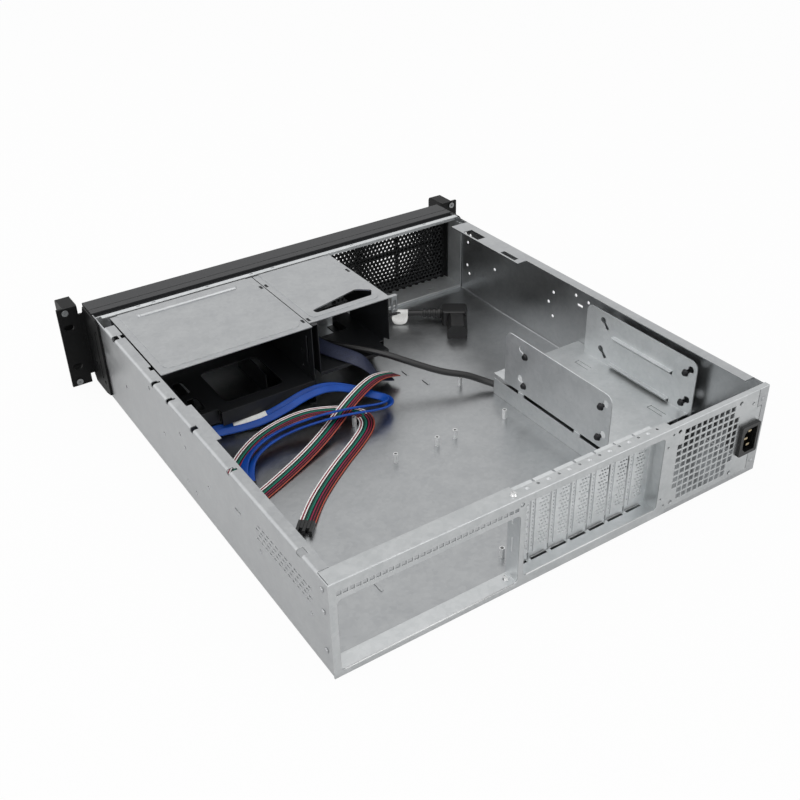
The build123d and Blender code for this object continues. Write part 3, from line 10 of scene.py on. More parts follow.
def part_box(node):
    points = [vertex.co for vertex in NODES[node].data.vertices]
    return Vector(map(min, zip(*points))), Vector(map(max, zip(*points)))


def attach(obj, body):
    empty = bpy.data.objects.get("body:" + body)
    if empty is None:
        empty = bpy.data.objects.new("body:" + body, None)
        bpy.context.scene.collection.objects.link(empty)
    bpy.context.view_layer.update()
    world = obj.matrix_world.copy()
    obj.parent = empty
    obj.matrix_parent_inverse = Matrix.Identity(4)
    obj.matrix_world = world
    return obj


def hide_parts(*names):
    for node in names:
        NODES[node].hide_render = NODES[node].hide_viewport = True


bl_info = {
    "name": "Rack case dresser",
    "version": (1, 0, 0),
    "blender": (4, 5, 0),
    "location": "3D View > Sidebar > Rack case",
    "description": "Gives a packed rackmount case its finishes, leads, labels and studio",
    "category": "Object",
}

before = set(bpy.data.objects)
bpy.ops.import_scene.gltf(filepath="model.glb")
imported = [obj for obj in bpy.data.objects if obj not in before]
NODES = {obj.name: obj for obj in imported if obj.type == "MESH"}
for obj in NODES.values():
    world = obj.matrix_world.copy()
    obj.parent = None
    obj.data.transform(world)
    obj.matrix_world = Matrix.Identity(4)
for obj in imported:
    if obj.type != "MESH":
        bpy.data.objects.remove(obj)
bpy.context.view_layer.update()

MM = 0.001

# Body that all pieces but the two buttons belong to.
CASE_BODY = "case"

# Distance from the frame's origin to the case's rear face, in millimetres.
REAR_FACE = 255.8

# Azimuth, elevation and roll of the photograph's camera, solved from the standard sizes of a rack.
CAMERA_TURN = (math.radians(147.47), math.radians(33.01), math.radians(-1.42))

# Width of the camera's sensor, in millimetres.
SENSOR_WIDTH = 36.0

# Routes of the leads as part.py has them: across, forward of the rear face, and height, in millimetres.
MAINS_ROUTE = (
    (-197.4, 14.1, 40.4), (-197.4, 32, 40.4), (-195, 52, 27), (-186, 76, 12), (-172, 104, 4.7),
    (-152, 142, 4.6), (-132, 180, 4.7), (-120, 213, 4.8), (-102, 241, 8.5), (-86, 253, 16.5),
    (-66, 267, 19.5), (-44, 287, 28), (-21, 310, 37), (-3, 335, 37), (14, 360, 36.4), (20, 385, 36.4),
    (8, 408, 36.4), (-16, 419, 37.4), (-44, 420, 37), (-68, 420, 26), (-84, 421, 13), (-100, 418, 9.4),
    (-130, 397.5, 9.4),
)
NAVY_SLEEVE_ROUTE = (
    (5, 477.8, 50), (5, 462, 50), (14, 444, 50), (27, 420, 48), (32, 394, 45), (30, 368, 42),
    (22, 346, 39), (13, 330, 37.5), (5, 317, 35.8), (-3, 311, 30), (-11, 309, 18), (-18, 308, 10),
    (-30, 307, 6.4),
)
RIBBON_UPPER_ROUTE = (
    (191, 202, 2.0), (164, 213, 2.0), (135, 226, 2.4), (103, 241, 4), (71, 257, 9), (38, 275, 18),
    (6, 289, 23.5), (-16, 299, 18.5), (-34, 306, 9.5),
)
RIBBON_LOWER_ROUTE = (
    (190, 203, 3.6), (189, 219, 3.6), (184, 236, 2.6), (172, 254, 2.6), (153, 272, 5), (130, 284, 9),
    (104, 289, 12), (77, 288, 14), (54, 284, 10.5), (38, 277, 8), (27, 267, 5), (31, 251, 2.6),
    (55, 233, 2), (83, 215, 2), (113, 193, 2), (135, 174, 2), (150, 157, 3.2),
)
DATA_ROUTE = (
    (178, 325, 7.5), (160, 323, 7.5), (137, 317, 7.5), (114, 312, 9.5), (92, 309, 16), (68, 308, 24),
    (44, 305, 25), (22, 299, 17), (4, 287, 9), (-6, 272, 8), (1, 257, 11), (19, 251, 15.5),
    (42, 256, 18), (68, 262, 18), (97, 267, 16), (124, 267, 13), (146, 259, 10), (160, 245, 7.5),
    (166, 228, 6.8),
)

# Steps from one control point of a lead to the next.
CURVE_STEPS = 12

# Paper flag on the mains lead, in millimetres: where it starts before the plug, its width, its thickness,
# where its tail begins, and its outline round the lead, from the tip of the tail over the lead and back.
FLAG_START = 15.5
FLAG_WIDTH = 18.0
FLAG_THICKNESS = 0.25
FLAG_ROOT = (4.2, -1.2)
FLAG_OUTLINE = (
    (12.5, -7.6), (8, -5), (4.2, -1.2), (4, 1), (2.4, 3.4), (0, 4.2), (-2.6, 3.4), (-4, 1.2), (-4.2, -1),
    (-3, -3.2), (-0.6, -4.3), (2, -4.3), (5, -5), (8, -6.4), (12.5, -7.95),
)
# Share of the tail's length that is left at its two corners, and how square they are.
FLAG_CORNER = 0.25
FLAG_SQUARENESS = 2.6

# Degrees by which the flat data cables stand on edge, by the share of their length.
DATA_LEAN = ((0, 0), (0.035, -32), (0.92, -32), (1, 0))

# Where the second data cable lies, by the share of its route: its distance from the first one, in shares
# of the spacing that the panel gives, and its height above the first one in metres.
DATA_SPACING = ((0, 1.0), (0.3, 1.0), (0.45, 0.66), (1, 0.66))
DATA_LIFT = ((0, 0.0006), (0.3, 0.0008), (0.45, 0.0028), (1, 0.0028))

# White sleeve on the first data cable, in millimetres: its two ends across, its width and height, and its
# outline in halves of these.
WHITE_SLEEVE_ENDS = (140, 108)
WHITE_SLEEVE_SIZE = (8.2, 3.6)
WHITE_SLEEVE_OUTLINE = (
    (1, -0.4), (1, 0.4), (0.9, 0.85), (0.7, 1), (-0.7, 1), (-0.9, 0.85), (-1, 0.4), (-1, -0.4),
    (-0.9, -0.85), (-0.7, -1), (0.7, -1), (0.9, -0.85),
)

# Insulation of the twelve wires of the panel ribbon, edge to edge.
WIRE_COLOURS = ("#F6F6F4", "#8A1F36", "#F4F3F0", "#0C0C0D", "#0F5A48", "#1C7C69",
                "#0C0C0D", "#94284A", "#0B0909", "#7E2236", "#0A0909", "#AC4E3E")

# Share of the ribbon's lower stretch where it is folded over, and its colours run the other way round.
RIBBON_FOLD = 0.64

# Stretches of the panel ribbon: number, route, what is at the far end, and where it is folded over.
RIBBON_STRETCHES = (
    (1, RIBBON_UPPER_ROUTE, "object", None),
    (2, RIBBON_LOWER_ROUTE, "connector", RIBBON_FOLD),
)

# It leans by these degrees at these shares of its length.
NAVY_SLEEVE_SIZE = (15.0, 1.8)
NAVY_SLEEVE_OUTLINE = (
    (1, -0.4), (1, 0.4), (0.9, 1), (0, 1), (-0.9, 1), (-1, 0.4), (-1, -0.4), (-0.9, -1), (0, -1),
    (0.9, -1),
)
NAVY_SLEEVE_LEAN = ((0, 0), (0.15, -25), (0.85, -25), (1, 0))

# Lighter and darker colour of the rear panel's sheet, between those of the pan and of the lit parts: the
# same sheet as the pan, lightened as painted light on the panel's face.
REAR_LIT_COLOURS = ("#C9CBCC", "#BABDBE")

# Painted highlights: thin pale bars laid along sheet edges so that these show as bright lines: their
# width in metres, and name and both ends of each, as the routes are given.
HIGHLIGHT_BAR_WIDTH = 0.0011
EDGE_HIGHLIGHTS = (
    ("ledge_highlight", (-48, 437.2, 4.9), (-213, 437.2, 4.9)),
    ("intake_return_highlight", (-212.7, 437.2, 5.6), (-212.7, 437.2, 82)),
    ("io_window_highlight", (206, 0.6, 4.7), (55, 0.6, 4.7)),
    ("slot_window_highlight", (44, 0.6, 8.8), (-91, 0.6, 8.8)),
)

# Intake wall and the second screen, in metres: sheet, and for each the pitch and width of its holes.
INTAKE_SHEET = 0.001
INTAKE_HOLES = (0.005, 0.004)
SCREEN_HOLES = (0.0054, 0.0027)
# The screen's place: in from the wall's ends, forward of the wall, and up from its foot.
SCREEN_INSET = 0.003
SCREEN_FORWARD = 0.018
SCREEN_FOOT = 0.002

# The floor lies this far under the case, in metres, so that it doesn't cut the pan's underside.
FLOOR_GAP = 0.0004

# Soft boxes: name, place, width and depth in metres, and watts.
LAMPS = (
    ("softbox_over", (0.3, 0.2, 1.6), (1.4, 1.4), 7.0),
    ("softbox_side", (1.6, 0.9, 1.0), (1.2, 1.0), 6.0),
    ("softbox_front", (1.0, -1.05, 0.9), (2.2, 2.0), 5.5),
    ("softbox_rear", (-0.8, 1.6, 0.5), (1.0, 0.8), 4.0),
)

# Share of plain white that the floor gives to the camera, and to the rays that the case mirrors.
WHITE_TO_CAMERA = 0.95
WHITE_TO_MIRRORS = 0.28


def linear(hex_colour):
    """Turns an sRGB hex colour into linear RGBA."""
    parts = [int(hex_colour[i:i + 2], 16) / 255 for i in (1, 3, 5)]
    return tuple(p / 12.92 if p <= 0.04045 else ((p + 0.055) / 1.055) ** 2.4 for p in parts) + (1.0,)


def from_rear(points):
    """Points given forward of the rear face in millimetres, in the frame's own axes in metres."""
    return [Vector((x * MM, (REAR_FACE - depth) * MM, z * MM)) for x, depth, z in points]


def along(steps, share):
    """Value at a share of the length, between steps of share and value."""
    return float(np.interp(share, *zip(*steps)))


def scaled(outline, width, height):
    """Outline in halves of its size, at that width and height in millimetres."""
    return [(u * width * MM / 2, v * height * MM / 2) for u, v in outline]


def add_node(tree, kind, settings=None, links=None):
    """Adds one shader node, with attributes or inputs set by name and inputs linked from outputs."""
    node = tree.nodes.new(kind)
    for key, value in (settings or {}).items():
        if isinstance(key, str) and hasattr(node, key):
            setattr(node, key, value)
        else:
            node.inputs[key].default_value = value
    for key, output in (links or {}).items():
        tree.links.new(output, node.inputs[key])
    return node


def new_finish(name, colour, metallic, roughness, ior=None):
    """A material with one Principled shader; returns the material, its tree and the shader."""
    material = bpy.data.materials.new(name)
    material.use_nodes = True
    tree = material.node_tree
    shader = next(n for n in tree.nodes if n.type == "BSDF_PRINCIPLED")
    shader.inputs["Base Color"].default_value = linear(colour)
    shader.inputs["Metallic"].default_value = metallic
    shader.inputs["Roughness"].default_value = roughness
    if ior is not None:
        shader.inputs["IOR"].default_value = ior
    material.diffuse_color = linear(colour)
    return material, tree, shader


def grain(tree, size, detail=3.0, stretch=(1, 1, 1)):
    """Noise from 0 to 1 whose features are about size metres wide, in the object's own space."""
    place = add_node(tree, "ShaderNodeTexCoord")
    mapped = add_node(tree, "ShaderNodeMapping", {"Scale": [s / size for s in stretch]},
                      {"Vector": place.outputs["Object"]})
    noise = add_node(tree, "ShaderNodeTexNoise", {"Scale": 1.0, "Detail": detail, "Roughness": 0.55},
                     {"Vector": mapped.outputs["Vector"]})
    return noise.outputs["Fac"]


def vary_roughness(tree, shader, pattern, low, high):
    """Takes the shader's roughness from low to high with a pattern of 0 to 1."""
    rough = add_node(tree, "ShaderNodeMapRange", {"To Min": low, "To Max": high}, {"Value": pattern})
    tree.links.new(rough.outputs["Result"], shader.inputs["Roughness"])


def vary_colour(tree, shader, pattern, dark, light, start=0.3, end=0.7):
    """Takes the shader's colour from dark to light while a pattern goes from start to end."""
    ramp = add_node(tree, "ShaderNodeValToRGB", {}, {"Fac": pattern})
    for stop, place, colour in zip(ramp.color_ramp.elements, (start, end), (dark, light)):
        stop.position = place
        stop.color = linear(colour)
    tree.links.new(ramp.outputs["Color"], shader.inputs["Base Color"])


def relief(tree, shader, pattern, depth, strength, edge=0.0):
    """Bump of a depth in metres on the shader, over edges that look rounded to a radius in metres."""
    bump = add_node(tree, "ShaderNodeBump", {"Strength": strength, "Distance": depth},
                    {"Height": pattern})
    if edge:
        rounded = add_node(tree, "ShaderNodeBevel", {"samples": 4, "Radius": edge})
        tree.links.new(rounded.outputs["Normal"], bump.inputs["Normal"])
    tree.links.new(bump.outputs["Normal"], shader.inputs["Normal"])


def galvanised_sheet(settings, name, light, dark, edge, matt):
    """Hot-dip galvanised steel, skin-passed: soft satin metal with a faint zinc spangle and clouds."""
    roughness = settings.sheet_roughness + matt
    material, tree, shader = new_finish(name, light, 1.0, roughness)
    place = add_node(tree, "ShaderNodeTexCoord")
    crystals = add_node(tree, "ShaderNodeTexVoronoi", {"Scale": 1 / settings.spangle_size},
                        {"Vector": place.outputs["Object"]})
    shade = add_node(tree, "ShaderNodeSeparateColor", {}, {"Color": crystals.outputs["Color"]})
    cloud = grain(tree, settings.spangle_size * 6)
    both = add_node(tree, "ShaderNodeMath", {"operation": "MULTIPLY_ADD", 1: 0.3},
                    {0: shade.outputs["Red"], 2: cloud}).outputs["Value"]
    vary_colour(tree, shader, both, dark, light, 0.35, 1.0)
    vary_roughness(tree, shader, both, roughness - 0.05, roughness + 0.06)
    # Marks of the rolls, about 0.1 mm wide on a real sheet and drawn at 0.9 mm so that they show.
    relief(tree, shader, grain(tree, 0.9 * MM, 2.0), 0.01 * MM, 0.35, edge)
    return material


def black_powder_coat(name, dark, light, gloss=0.5):
    """Polyester powder coat, sprayed and baked: dark grey black, fine orange-peel surface, low gloss."""
    material, tree, shader = new_finish(name, light, 0.0, 0.46, ior=1.5)
    peel = grain(tree, 0.6 * MM, 2.0)
    vary_colour(tree, shader, peel, dark, light)
    shader.inputs["Specular IOR Level"].default_value = gloss
    relief(tree, shader, peel, 0.05 * MM, 0.5, 0.6 * MM)
    return material


def black_dip_coat(name, colour, edge):
    """Cathodic dip paint on thin sheet: even black film, smoother and glossier than powder."""
    material, tree, shader = new_finish(name, colour, 0.0, 0.34, ior=1.5)
    vary_roughness(tree, shader, grain(tree, 12 * MM), 0.28, 0.42)
    relief(tree, shader, grain(tree, 0.8 * MM, 2.0), 0.02 * MM, 0.3, edge)
    return material


def zinc_plate(name, colour):
    """Electroplated zinc on fasteners: cool metal, slightly hazed."""
    material, tree, shader = new_finish(name, colour, 1.0, 0.22)
    vary_roughness(tree, shader, grain(tree, 2 * MM), 0.16, 0.32)
    return material


def zinc_posts_and_highlights():
    """Clear passivated zinc on posts, also used for the painted highlights along sheet edges: pale,
    frosted metal, bright from all sides.
    """
    material, tree, shader = new_finish("Clear passivated zinc and edge highlights", "#DCDDDD", 0.6, 0.34)
    vary_roughness(tree, shader, grain(tree, 1.5 * MM), 0.3, 0.46)
    return material


def black_oxide():
    """Black oxide on steel screws: dark, oily metal."""
    material, tree, shader = new_finish("Black oxide steel", "#2A2A2C", 0.7, 0.35)
    vary_roughness(tree, shader, grain(tree, 1.5 * MM), 0.28, 0.45)
    return material


def moulded_nylon():
    """Injection-moulded black nylon: spark-eroded fine grain, soft highlights."""
    material, tree, shader = new_finish("Moulded black nylon", "#0F0F10", 0.0, 0.4, ior=1.53)
    # The real grain is about 0.05 mm wide. It is drawn at 0.5 mm so that it shows.
    relief(tree, shader, grain(tree, 0.5 * MM, 2.0), 0.04 * MM, 0.4)
    return material


def black_pvc():
    """Extruded soft PVC jacket: smooth, slightly waxy black."""
    material, tree, shader = new_finish("Black PVC jacket", "#131314", 0.0, 0.36, ior=1.53)
    vary_roughness(tree, shader, grain(tree, 4 * MM), 0.3, 0.45)
    return material


def blue_pvc():
    """Extruded flat cable jacket of soft glossy PVC: strong, deep blue under a thin gloss."""
    material, tree, shader = new_finish("Glossy blue PVC", "#11489E", 0.0, 0.36, ior=1.53)
    vary_colour(tree, shader, grain(tree, 20 * MM, 2.0), "#0B3B8A", "#1249A0")
    shader.inputs["Specular IOR Level"].default_value = 0.22
    shader.inputs["Coat Weight"].default_value = 0.04
    shader.inputs["Coat Roughness"].default_value = 0.15
    return material


def ribbon_pvc():
    """PVC insulated wires bonded side by side: each wire has its own colour, all have one semi-gloss."""
    material, tree, shader = new_finish("Bonded wire ribbon", "#8A6A66", 0.0, 0.38, ior=1.53)
    shader.inputs["Specular IOR Level"].default_value = 0.25
    wires = len(WIRE_COLOURS)
    wire = add_node(tree, "ShaderNodeAttribute", {"attribute_name": "wire"})
    ramp = add_node(tree, "ShaderNodeValToRGB", {}, {"Fac": wire.outputs["Fac"]})
    stops = ramp.color_ramp
    stops.interpolation = "CONSTANT"
    while len(stops.elements) < wires:
        stops.elements.new(1.0)
    for k, colour in enumerate(WIRE_COLOURS):
        stops.elements[k].position = k / wires
        stops.elements[k].color = linear(colour)
    # The valleys between the wires are darker, since little light gets into them.
    across = add_node(tree, "ShaderNodeMath", {"operation": "MULTIPLY", 1: float(wires)},
                      {0: wire.outputs["Fac"]})
    border = add_node(tree, "ShaderNodeMath", {"operation": "PINGPONG", 1: 0.5},
                      {0: across.outputs["Value"]})
    valley = add_node(tree, "ShaderNodeMapRange", {"From Max": 0.16, "To Min": 0.35, "To Max": 1.0},
                      {"Value": border.outputs["Value"]})
    shaded = add_node(tree, "ShaderNodeVectorMath", {"operation": "SCALE"},
                      {"Vector": ramp.outputs["Color"], "Scale": valley.outputs["Result"]})
    tree.links.new(shaded.outputs["Vector"], shader.inputs["Base Color"])
    return material


def navy_tape():
    """Dark blue cloth tape wound round the panel leads: matt with a faint weave."""
    material, tree, shader = new_finish("Navy cloth tape", "#1B2036", 0.0, 0.55)
    # Threads of about 0.3 mm, drawn at 0.7 mm so that they show, and longer along the tape.
    weave = grain(tree, 0.7 * MM, 2.0, (1.0, 0.4, 1.0))
    vary_colour(tree, shader, weave, "#151A2C", "#262D48")
    relief(tree, shader, weave, 0.06 * MM, 0.5)
    return material


def white_paper():
    """Coated white label paper: bright, matt, with a faint unevenness."""
    material, tree, shader = new_finish("Coated label paper", "#E9E9E6", 0.0, 0.55)
    vary_colour(tree, shader, grain(tree, 1.5 * MM), "#E0E0DC", "#F0F0EE")
    return material


def nickel_pins():
    """Nickel-plated brass contacts: warm pale metal."""
    material, tree, shader = new_finish("Nickel plated brass", "#B9A98A", 1.0, 0.25)
    vary_roughness(tree, shader, grain(tree, MM, 2.0), 0.2, 0.34)
    return material


def solder_mask():
    """Green solder mask on glass laminate: glossy, with copper areas 2.5 mm wide showing through."""
    material, tree, shader = new_finish("Green solder mask", "#12402A", 0.0, 0.3, ior=1.55)
    place = add_node(tree, "ShaderNodeTexCoord")
    lands = add_node(tree, "ShaderNodeTexVoronoi", {"Scale": 400.0, "distance": "CHEBYCHEV"},
                     {"Vector": place.outputs["Object"]})
    vary_colour(tree, shader, lands.outputs["Distance"], "#0F3A25", "#1B5B3C")
    return material


def clear_lens():
    """Clear acrylic light pipe, moulded and polished: glossy and pale."""
    material, _, shader = new_finish("Clear acrylic lens", "#D5DDDF", 0.0, 0.12, ior=1.49)
    shader.inputs["Transmission Weight"].default_value = 0.6
    return material


def rays_seen(tree):
    """Light Path's outputs, and 1 for what the camera sees straight or through something clear."""
    path = add_node(tree, "ShaderNodeLightPath")
    clear = add_node(tree, "ShaderNodeMath", {"operation": "MAXIMUM"},
                     {0: path.outputs["Is Camera Ray"], 1: path.outputs["Is Transmission Ray"]})
    return path.outputs, clear.outputs["Value"]


def studio_paper():
    """Seamless paper sweep: matt, white to the camera, pale in what the sheet mirrors, soft shadow."""
    material, tree, shader = new_finish("White paper sweep", "#CFCFCF", 0.0, 0.9)
    glow = add_node(tree, "ShaderNodeEmission", {"Color": (1, 1, 1, 1), "Strength": 1.0})
    rays, seen = rays_seen(tree)
    mirrored = add_node(tree, "ShaderNodeMath", {"operation": "MULTIPLY", 1: WHITE_TO_MIRRORS},
                        {0: rays["Is Glossy Ray"]})
    share = add_node(tree, "ShaderNodeMath", {"operation": "MULTIPLY_ADD", 1: WHITE_TO_CAMERA},
                     {0: seen, 2: mirrored.outputs["Value"]})
    mixed = add_node(tree, "ShaderNodeMixShader", {},
                     {0: share.outputs["Value"], 1: shader.outputs["BSDF"], 2: glow.outputs["Emission"]})
    output = next(n for n in tree.nodes if n.type == "OUTPUT_MATERIAL")
    tree.links.new(mixed.outputs["Shader"], output.inputs["Surface"])
    return material


# Materials that are already made, by their key.
FINISHES = {}


def finish_of(key, make, *arguments):
    """The material of that key, made once."""
    if key not in FINISHES:
        FINISHES[key] = make(*arguments)
    return FINISHES[key]


def paint(thing, material):
    """Gives an object one material."""
    thing.data.materials.clear()
    thing.data.materials.append(material)


def paint_nodes(material, *names):
    """Gives CAD nodes one material."""
    for name in names:
        paint(NODES[name], material)


def add_object(name, data):
    """Puts an object with that data into the scene."""
    thing = bpy.data.objects.new(name, data)
    bpy.context.scene.collection.objects.link(thing)
    return thing


def add_mesh(name, verts, faces):
    """Puts a smooth mesh of those faces into the scene."""
    mesh = bpy.data.meshes.new(name)
    mesh.from_pydata(verts, [], faces)
    mesh.update()
    mesh.shade_smooth()
    return add_object(name, mesh)


def control_line(name, points):
    """Open NURBS curve of order 3 through its first and last control points."""
    curve = bpy.data.curves.new(name, "CURVE")
    curve.dimensions = "3D"
    curve.resolution_u = CURVE_STEPS
    spline = curve.splines.new("NURBS")
    spline.points.add(len(points) - 1)
    for control, point in zip(spline.points, points):
        control.co = (*point, 1.0)
    spline.order_u = 3
    spline.use_endpoint_u = True
    return add_object(name, curve)


def line_points(points):
    """Points along the NURBS line of a route, as Blender works them out."""
    guide = control_line("guide", points)
    bpy.context.view_layer.update()
    graph = bpy.context.evaluated_depsgraph_get()
    mesh = bpy.data.meshes.new_from_object(guide.evaluated_get(graph), depsgraph=graph)
    line = [v.co.copy() for v in mesh.vertices]
    bpy.data.meshes.remove(mesh)
    curve = guide.data
    bpy.data.objects.remove(guide)
    bpy.data.curves.remove(curve)
    return line


def band(name, line, section, lean=((0, 0), (1, 0)), values=None, flip=None):
    """Sweeps a closed section along a line. Its first axis is level, or leans by degrees along the line.

    Values are kept in the "wire" attribute of the faces, and run the other way round past the share flip.
    """
    count, ring = len(line), len(section)
    # Below this length, the level direction of a stretch that climbs is too vague to follow.
    least_level = 0.2
    verts, faces, side = [], [], None
    for i, point in enumerate(line):
        ahead = (line[min(i + 1, count - 1)] - line[max(i - 1, 0)]).normalized()
        level = ahead.cross(Vector((0, 0, 1)))
        if level.length > least_level or side is None:
            side = level.normalized()
        else:
            side = (side - ahead * side.dot(ahead)).normalized()
        up = side.cross(ahead)
        turn = math.radians(along(lean, i / (count - 1)))
        wide = side * math.cos(turn) + up * math.sin(turn)
        thick = wide.cross(ahead)
        verts += [point + wide * u + thick * v for u, v in section]
    for i in range(count - 1):
        for k in range(ring):
            n = (k + 1) % ring
            faces.append((i * ring + k, i * ring + n, (i + 1) * ring + n, (i + 1) * ring + k))
    faces.append(tuple(range(ring - 1, -1, -1)))
    faces.append(tuple((count - 1) * ring + k for k in range(ring)))
    thing = add_mesh(name, verts, faces)
    if values:
        turned = [1 - value for value in values]
        straight = int((count - 1) * (flip or 1))
        caps = [values[0]] * 2
        by_face = values * straight + turned * (count - 1 - straight) + caps
        thing.data.attributes.new("wire", "FLOAT", "FACE").data.foreach_set("value", by_face)
    return thing


def wire_section(width, height, wires):
    """Outline of wires bonded side by side, and where each of its edges lies, from 0 to 1 across."""
    pitch = width / wires
    steps = 6
    upper = []
    for k in range(wires):
        middle = (k + 0.5) * pitch - width / 2
        for s in range(steps):
            angle = math.pi - math.pi * (s + 0.5) / steps
            upper.append((middle + math.cos(angle) * pitch / 2, math.sin(angle) * height / 2))
    outline = upper + [(u, -v) for u, v in reversed(upper)]
    values = []
    for (u, _), (next_u, _) in zip(outline, outline[1:] + outline[:1]):
        share = ((u + next_u) / 2 + width / 2) / width
        # Kept just inside 0 and 1, so that each edge belongs to a wire.
        values.append(min(max(share, 0.001), 0.999))
    return outline, values


def lobed_section(width, thickness):
    """Outline of a flat cable with two round lobes joined by a thinner web."""
    radius = thickness / 2
    # The web starts at this share of the width from the middle, and is this much of the lobes' thickness.
    web_start, web_thickness = 0.12, 0.82
    outline = []
    for sign, start in ((1, -90), (-1, 90)):
        middle = sign * (width / 2 - radius)
        for step in range(7):
            angle = math.radians(start + 30 * step)
            outline.append((middle + radius * math.cos(angle), radius * math.sin(angle)))
        outline.append((sign * width * web_start, sign * radius * web_thickness))
    return outline


def round_section(width):
    """Outline of a round bar."""
    sides = 10
    angles = [math.tau * k / sides for k in range(sides)]
    return [(width / 2 * math.cos(a), width / 2 * math.sin(a)) for a in angles]


def perforated_wall(name, low, high, pitch, hole):
    """Upright sheet between two corners with staggered round holes; its borders are left whole.

    Each hole stands in its own hexagonal cell, and the outer cells reach out to the sheet's edges.
    """
    radius = pitch / math.sqrt(3)
    rise = pitch * math.sqrt(3) / 2
    # Half a pitch for the stagger, and a little for the borders.
    spare = pitch * 0.8
    columns = int((high.x - low.x - spare) / pitch)
    rows = int((high.z - low.z - radius) / rise)
    start = (low.x + high.x) / 2 - (columns - 0.5) * pitch / 2
    first = (low.z + high.z) / 2 - (rows - 1) * rise / 2
    last_x, last_z = start + (columns - 0.5) * pitch, first + (rows - 1) * rise
    shape = bmesh.new()
    tiny = pitch / 100

    def corner(x, z):
        x = low.x if x <= start + tiny else high.x if x >= last_x - tiny else x
        z = low.z if z <= first - radius / 2 + tiny else high.z if z >= last_z + radius / 2 - tiny else z
        return shape.verts.new((x, low.y, z))

    corner_angles = [math.radians(30 + 60 * k) for k in range(6)]
    hole_angles = [math.radians(30 + 30 * k) for k in range(12)]
    for j in range(rows):
        for i in range(columns):
            x, z = start + pitch * (i + 0.5 * (j % 2)), first + rise * j
            outer = [corner(x + radius * math.cos(a), z + radius * math.sin(a)) for a in corner_angles]
            inner = [shape.verts.new((x + hole / 2 * math.cos(a), low.y, z + hole / 2 * math.sin(a)))
                     for a in hole_angles]
            for k in range(6):
                n = (k + 1) % 6
                shape.faces.new((outer[k], outer[n], inner[2 * n], inner[2 * k + 1], inner[2 * k]))
    bmesh.ops.remove_doubles(shape, verts=shape.verts, dist=tiny)
    bmesh.ops.recalc_face_normals(shape, faces=shape.faces)
    bmesh.ops.solidify(shape, geom=list(shape.faces), thickness=high.y - low.y)
    mesh = bpy.data.meshes.new(name)
    shape.to_mesh(mesh)
    shape.free()
    middle = sum((v.co.y for v in mesh.vertices), 0.0) / len(mesh.vertices)
    mesh.transform(Matrix.Translation((0, (low.y + high.y) / 2 - middle, 0)))
    return add_object(name, mesh)


def add_block(thing, low, high):
    """Adds a closed block between two corners to an object's mesh."""
    shape = bmesh.new()
    shape.from_mesh(thing.data)
    low, high = Vector(low), Vector(high)
    place = Matrix.Translation((low + high) / 2) @ Matrix.Diagonal((*(high - low), 1))
    bmesh.ops.create_cube(shape, size=1, matrix=place)
    shape.to_mesh(thing.data)
    shape.free()


def paper_flag(end, heading):
    """White paper folded round the lead, its halves stuck together in a rounded tail."""
    side = heading.cross(Vector((0, 0, 1))).normalized()
    origin = end - heading * (FLAG_START + FLAG_WIDTH) * MM
    root_u, root_v = FLAG_ROOT
    steps, verts, faces = 16, [], []
    for k in range(steps + 1):
        share = k / steps
        fullness = max(0.0, 1 - abs(2 * share - 1) ** FLAG_SQUARENESS) ** 0.5
        reach = FLAG_CORNER + (1 - FLAG_CORNER) * fullness
        middle = heading * share * FLAG_WIDTH
        for u, v in FLAG_OUTLINE:
            if u > root_u:
                u, v = root_u + (u - root_u) * reach, root_v + (v - root_v) * reach
            verts.append(origin + (middle + side * u + Vector((0, 0, v))) * MM)
    row = len(FLAG_OUTLINE)
    for k in range(steps):
        for n in range(row - 1):
            a = k * row + n
            faces.append((a, a + 1, a + row + 1, a + row))
    flag = add_mesh("lead_flag", verts, faces)
    paper = flag.modifiers.new("paper", "SOLIDIFY")
    paper.thickness = FLAG_THICKNESS * MM
    paper.offset = 1.0
    return flag


def white_sleeve(line):
    """Short white sleeve pushed over the first data cable, turned as the cable is."""
    # Only the first third is looked at, because the loop comes back across the same places.
    near = line[:len(line) // 3]

    def nearest(x):
        return min(range(len(near)), key=lambda k: abs(near[k].x - x * MM))

    first, last = (nearest(x) for x in WHITE_SLEEVE_ENDS)
    lean = [(share, along(DATA_LEAN, k / (len(line) - 1))) for share, k in ((0, first), (1, last))]
    outline = scaled(WHITE_SLEEVE_OUTLINE, *WHITE_SLEEVE_SIZE)
    return band("white_lead_sleeve", line[first:last + 1], outline, lean)


def beside(points, offset):
    """Route of a cable to one side of another, level with it at first and then a little higher."""
    moved, last = [], len(points) - 1
    for i, point in enumerate(points):
        ahead = points[min(i + 1, last)] - points[max(i - 1, 0)]
        across = Vector((ahead.y, -ahead.x, 0)).normalized()
        lift = Vector((0, 0, along(DATA_LIFT, i / last)))
        moved.append(point + across * offset * along(DATA_SPACING, i / last) + lift)
    return moved


class RackCaseSteelSettings(bpy.types.PropertyGroup):
    """Look of the bare sheet."""

    sheet_colour_hex: StringProperty(
        name="Sheet colour", description="Galvanised sheet, sRGB hex", default="#BABCBD")
    sheet_shade_hex: StringProperty(
        name="Sheet shade", description="Its darker spangle, sRGB hex", default="#ACAEB0")
    # Lighter copy of the sheet's colours for the frame, cradle, supports and slot covers: the same sheet
    # as the pan, painted lighter to show the light that reaches them.
    lit_colour_hex: StringProperty(
        name="Bright sheet colour", description="Sheet of the smaller parts, lightened as painted light, sRGB hex",
        default="#DBDDDE")
    lit_shade_hex: StringProperty(
        name="Bright sheet shade", description="Its darker spangle, sRGB hex", default="#CCCFD0")
    sheet_roughness: FloatProperty(
        name="Sheet roughness", description="Satin of the bare sheet", default=0.3, min=0.05, max=0.9,
        subtype="FACTOR")
    edge_round: FloatProperty(
        name="Edge rounding", description="Radius of the sheet's edges", default=0.0005, min=0.0,
        max=0.002, unit="LENGTH")
    spangle_size: FloatProperty(
        name="Spangle size", description="Width of a zinc crystal", default=0.0035, min=0.001, max=0.02,
        unit="LENGTH")


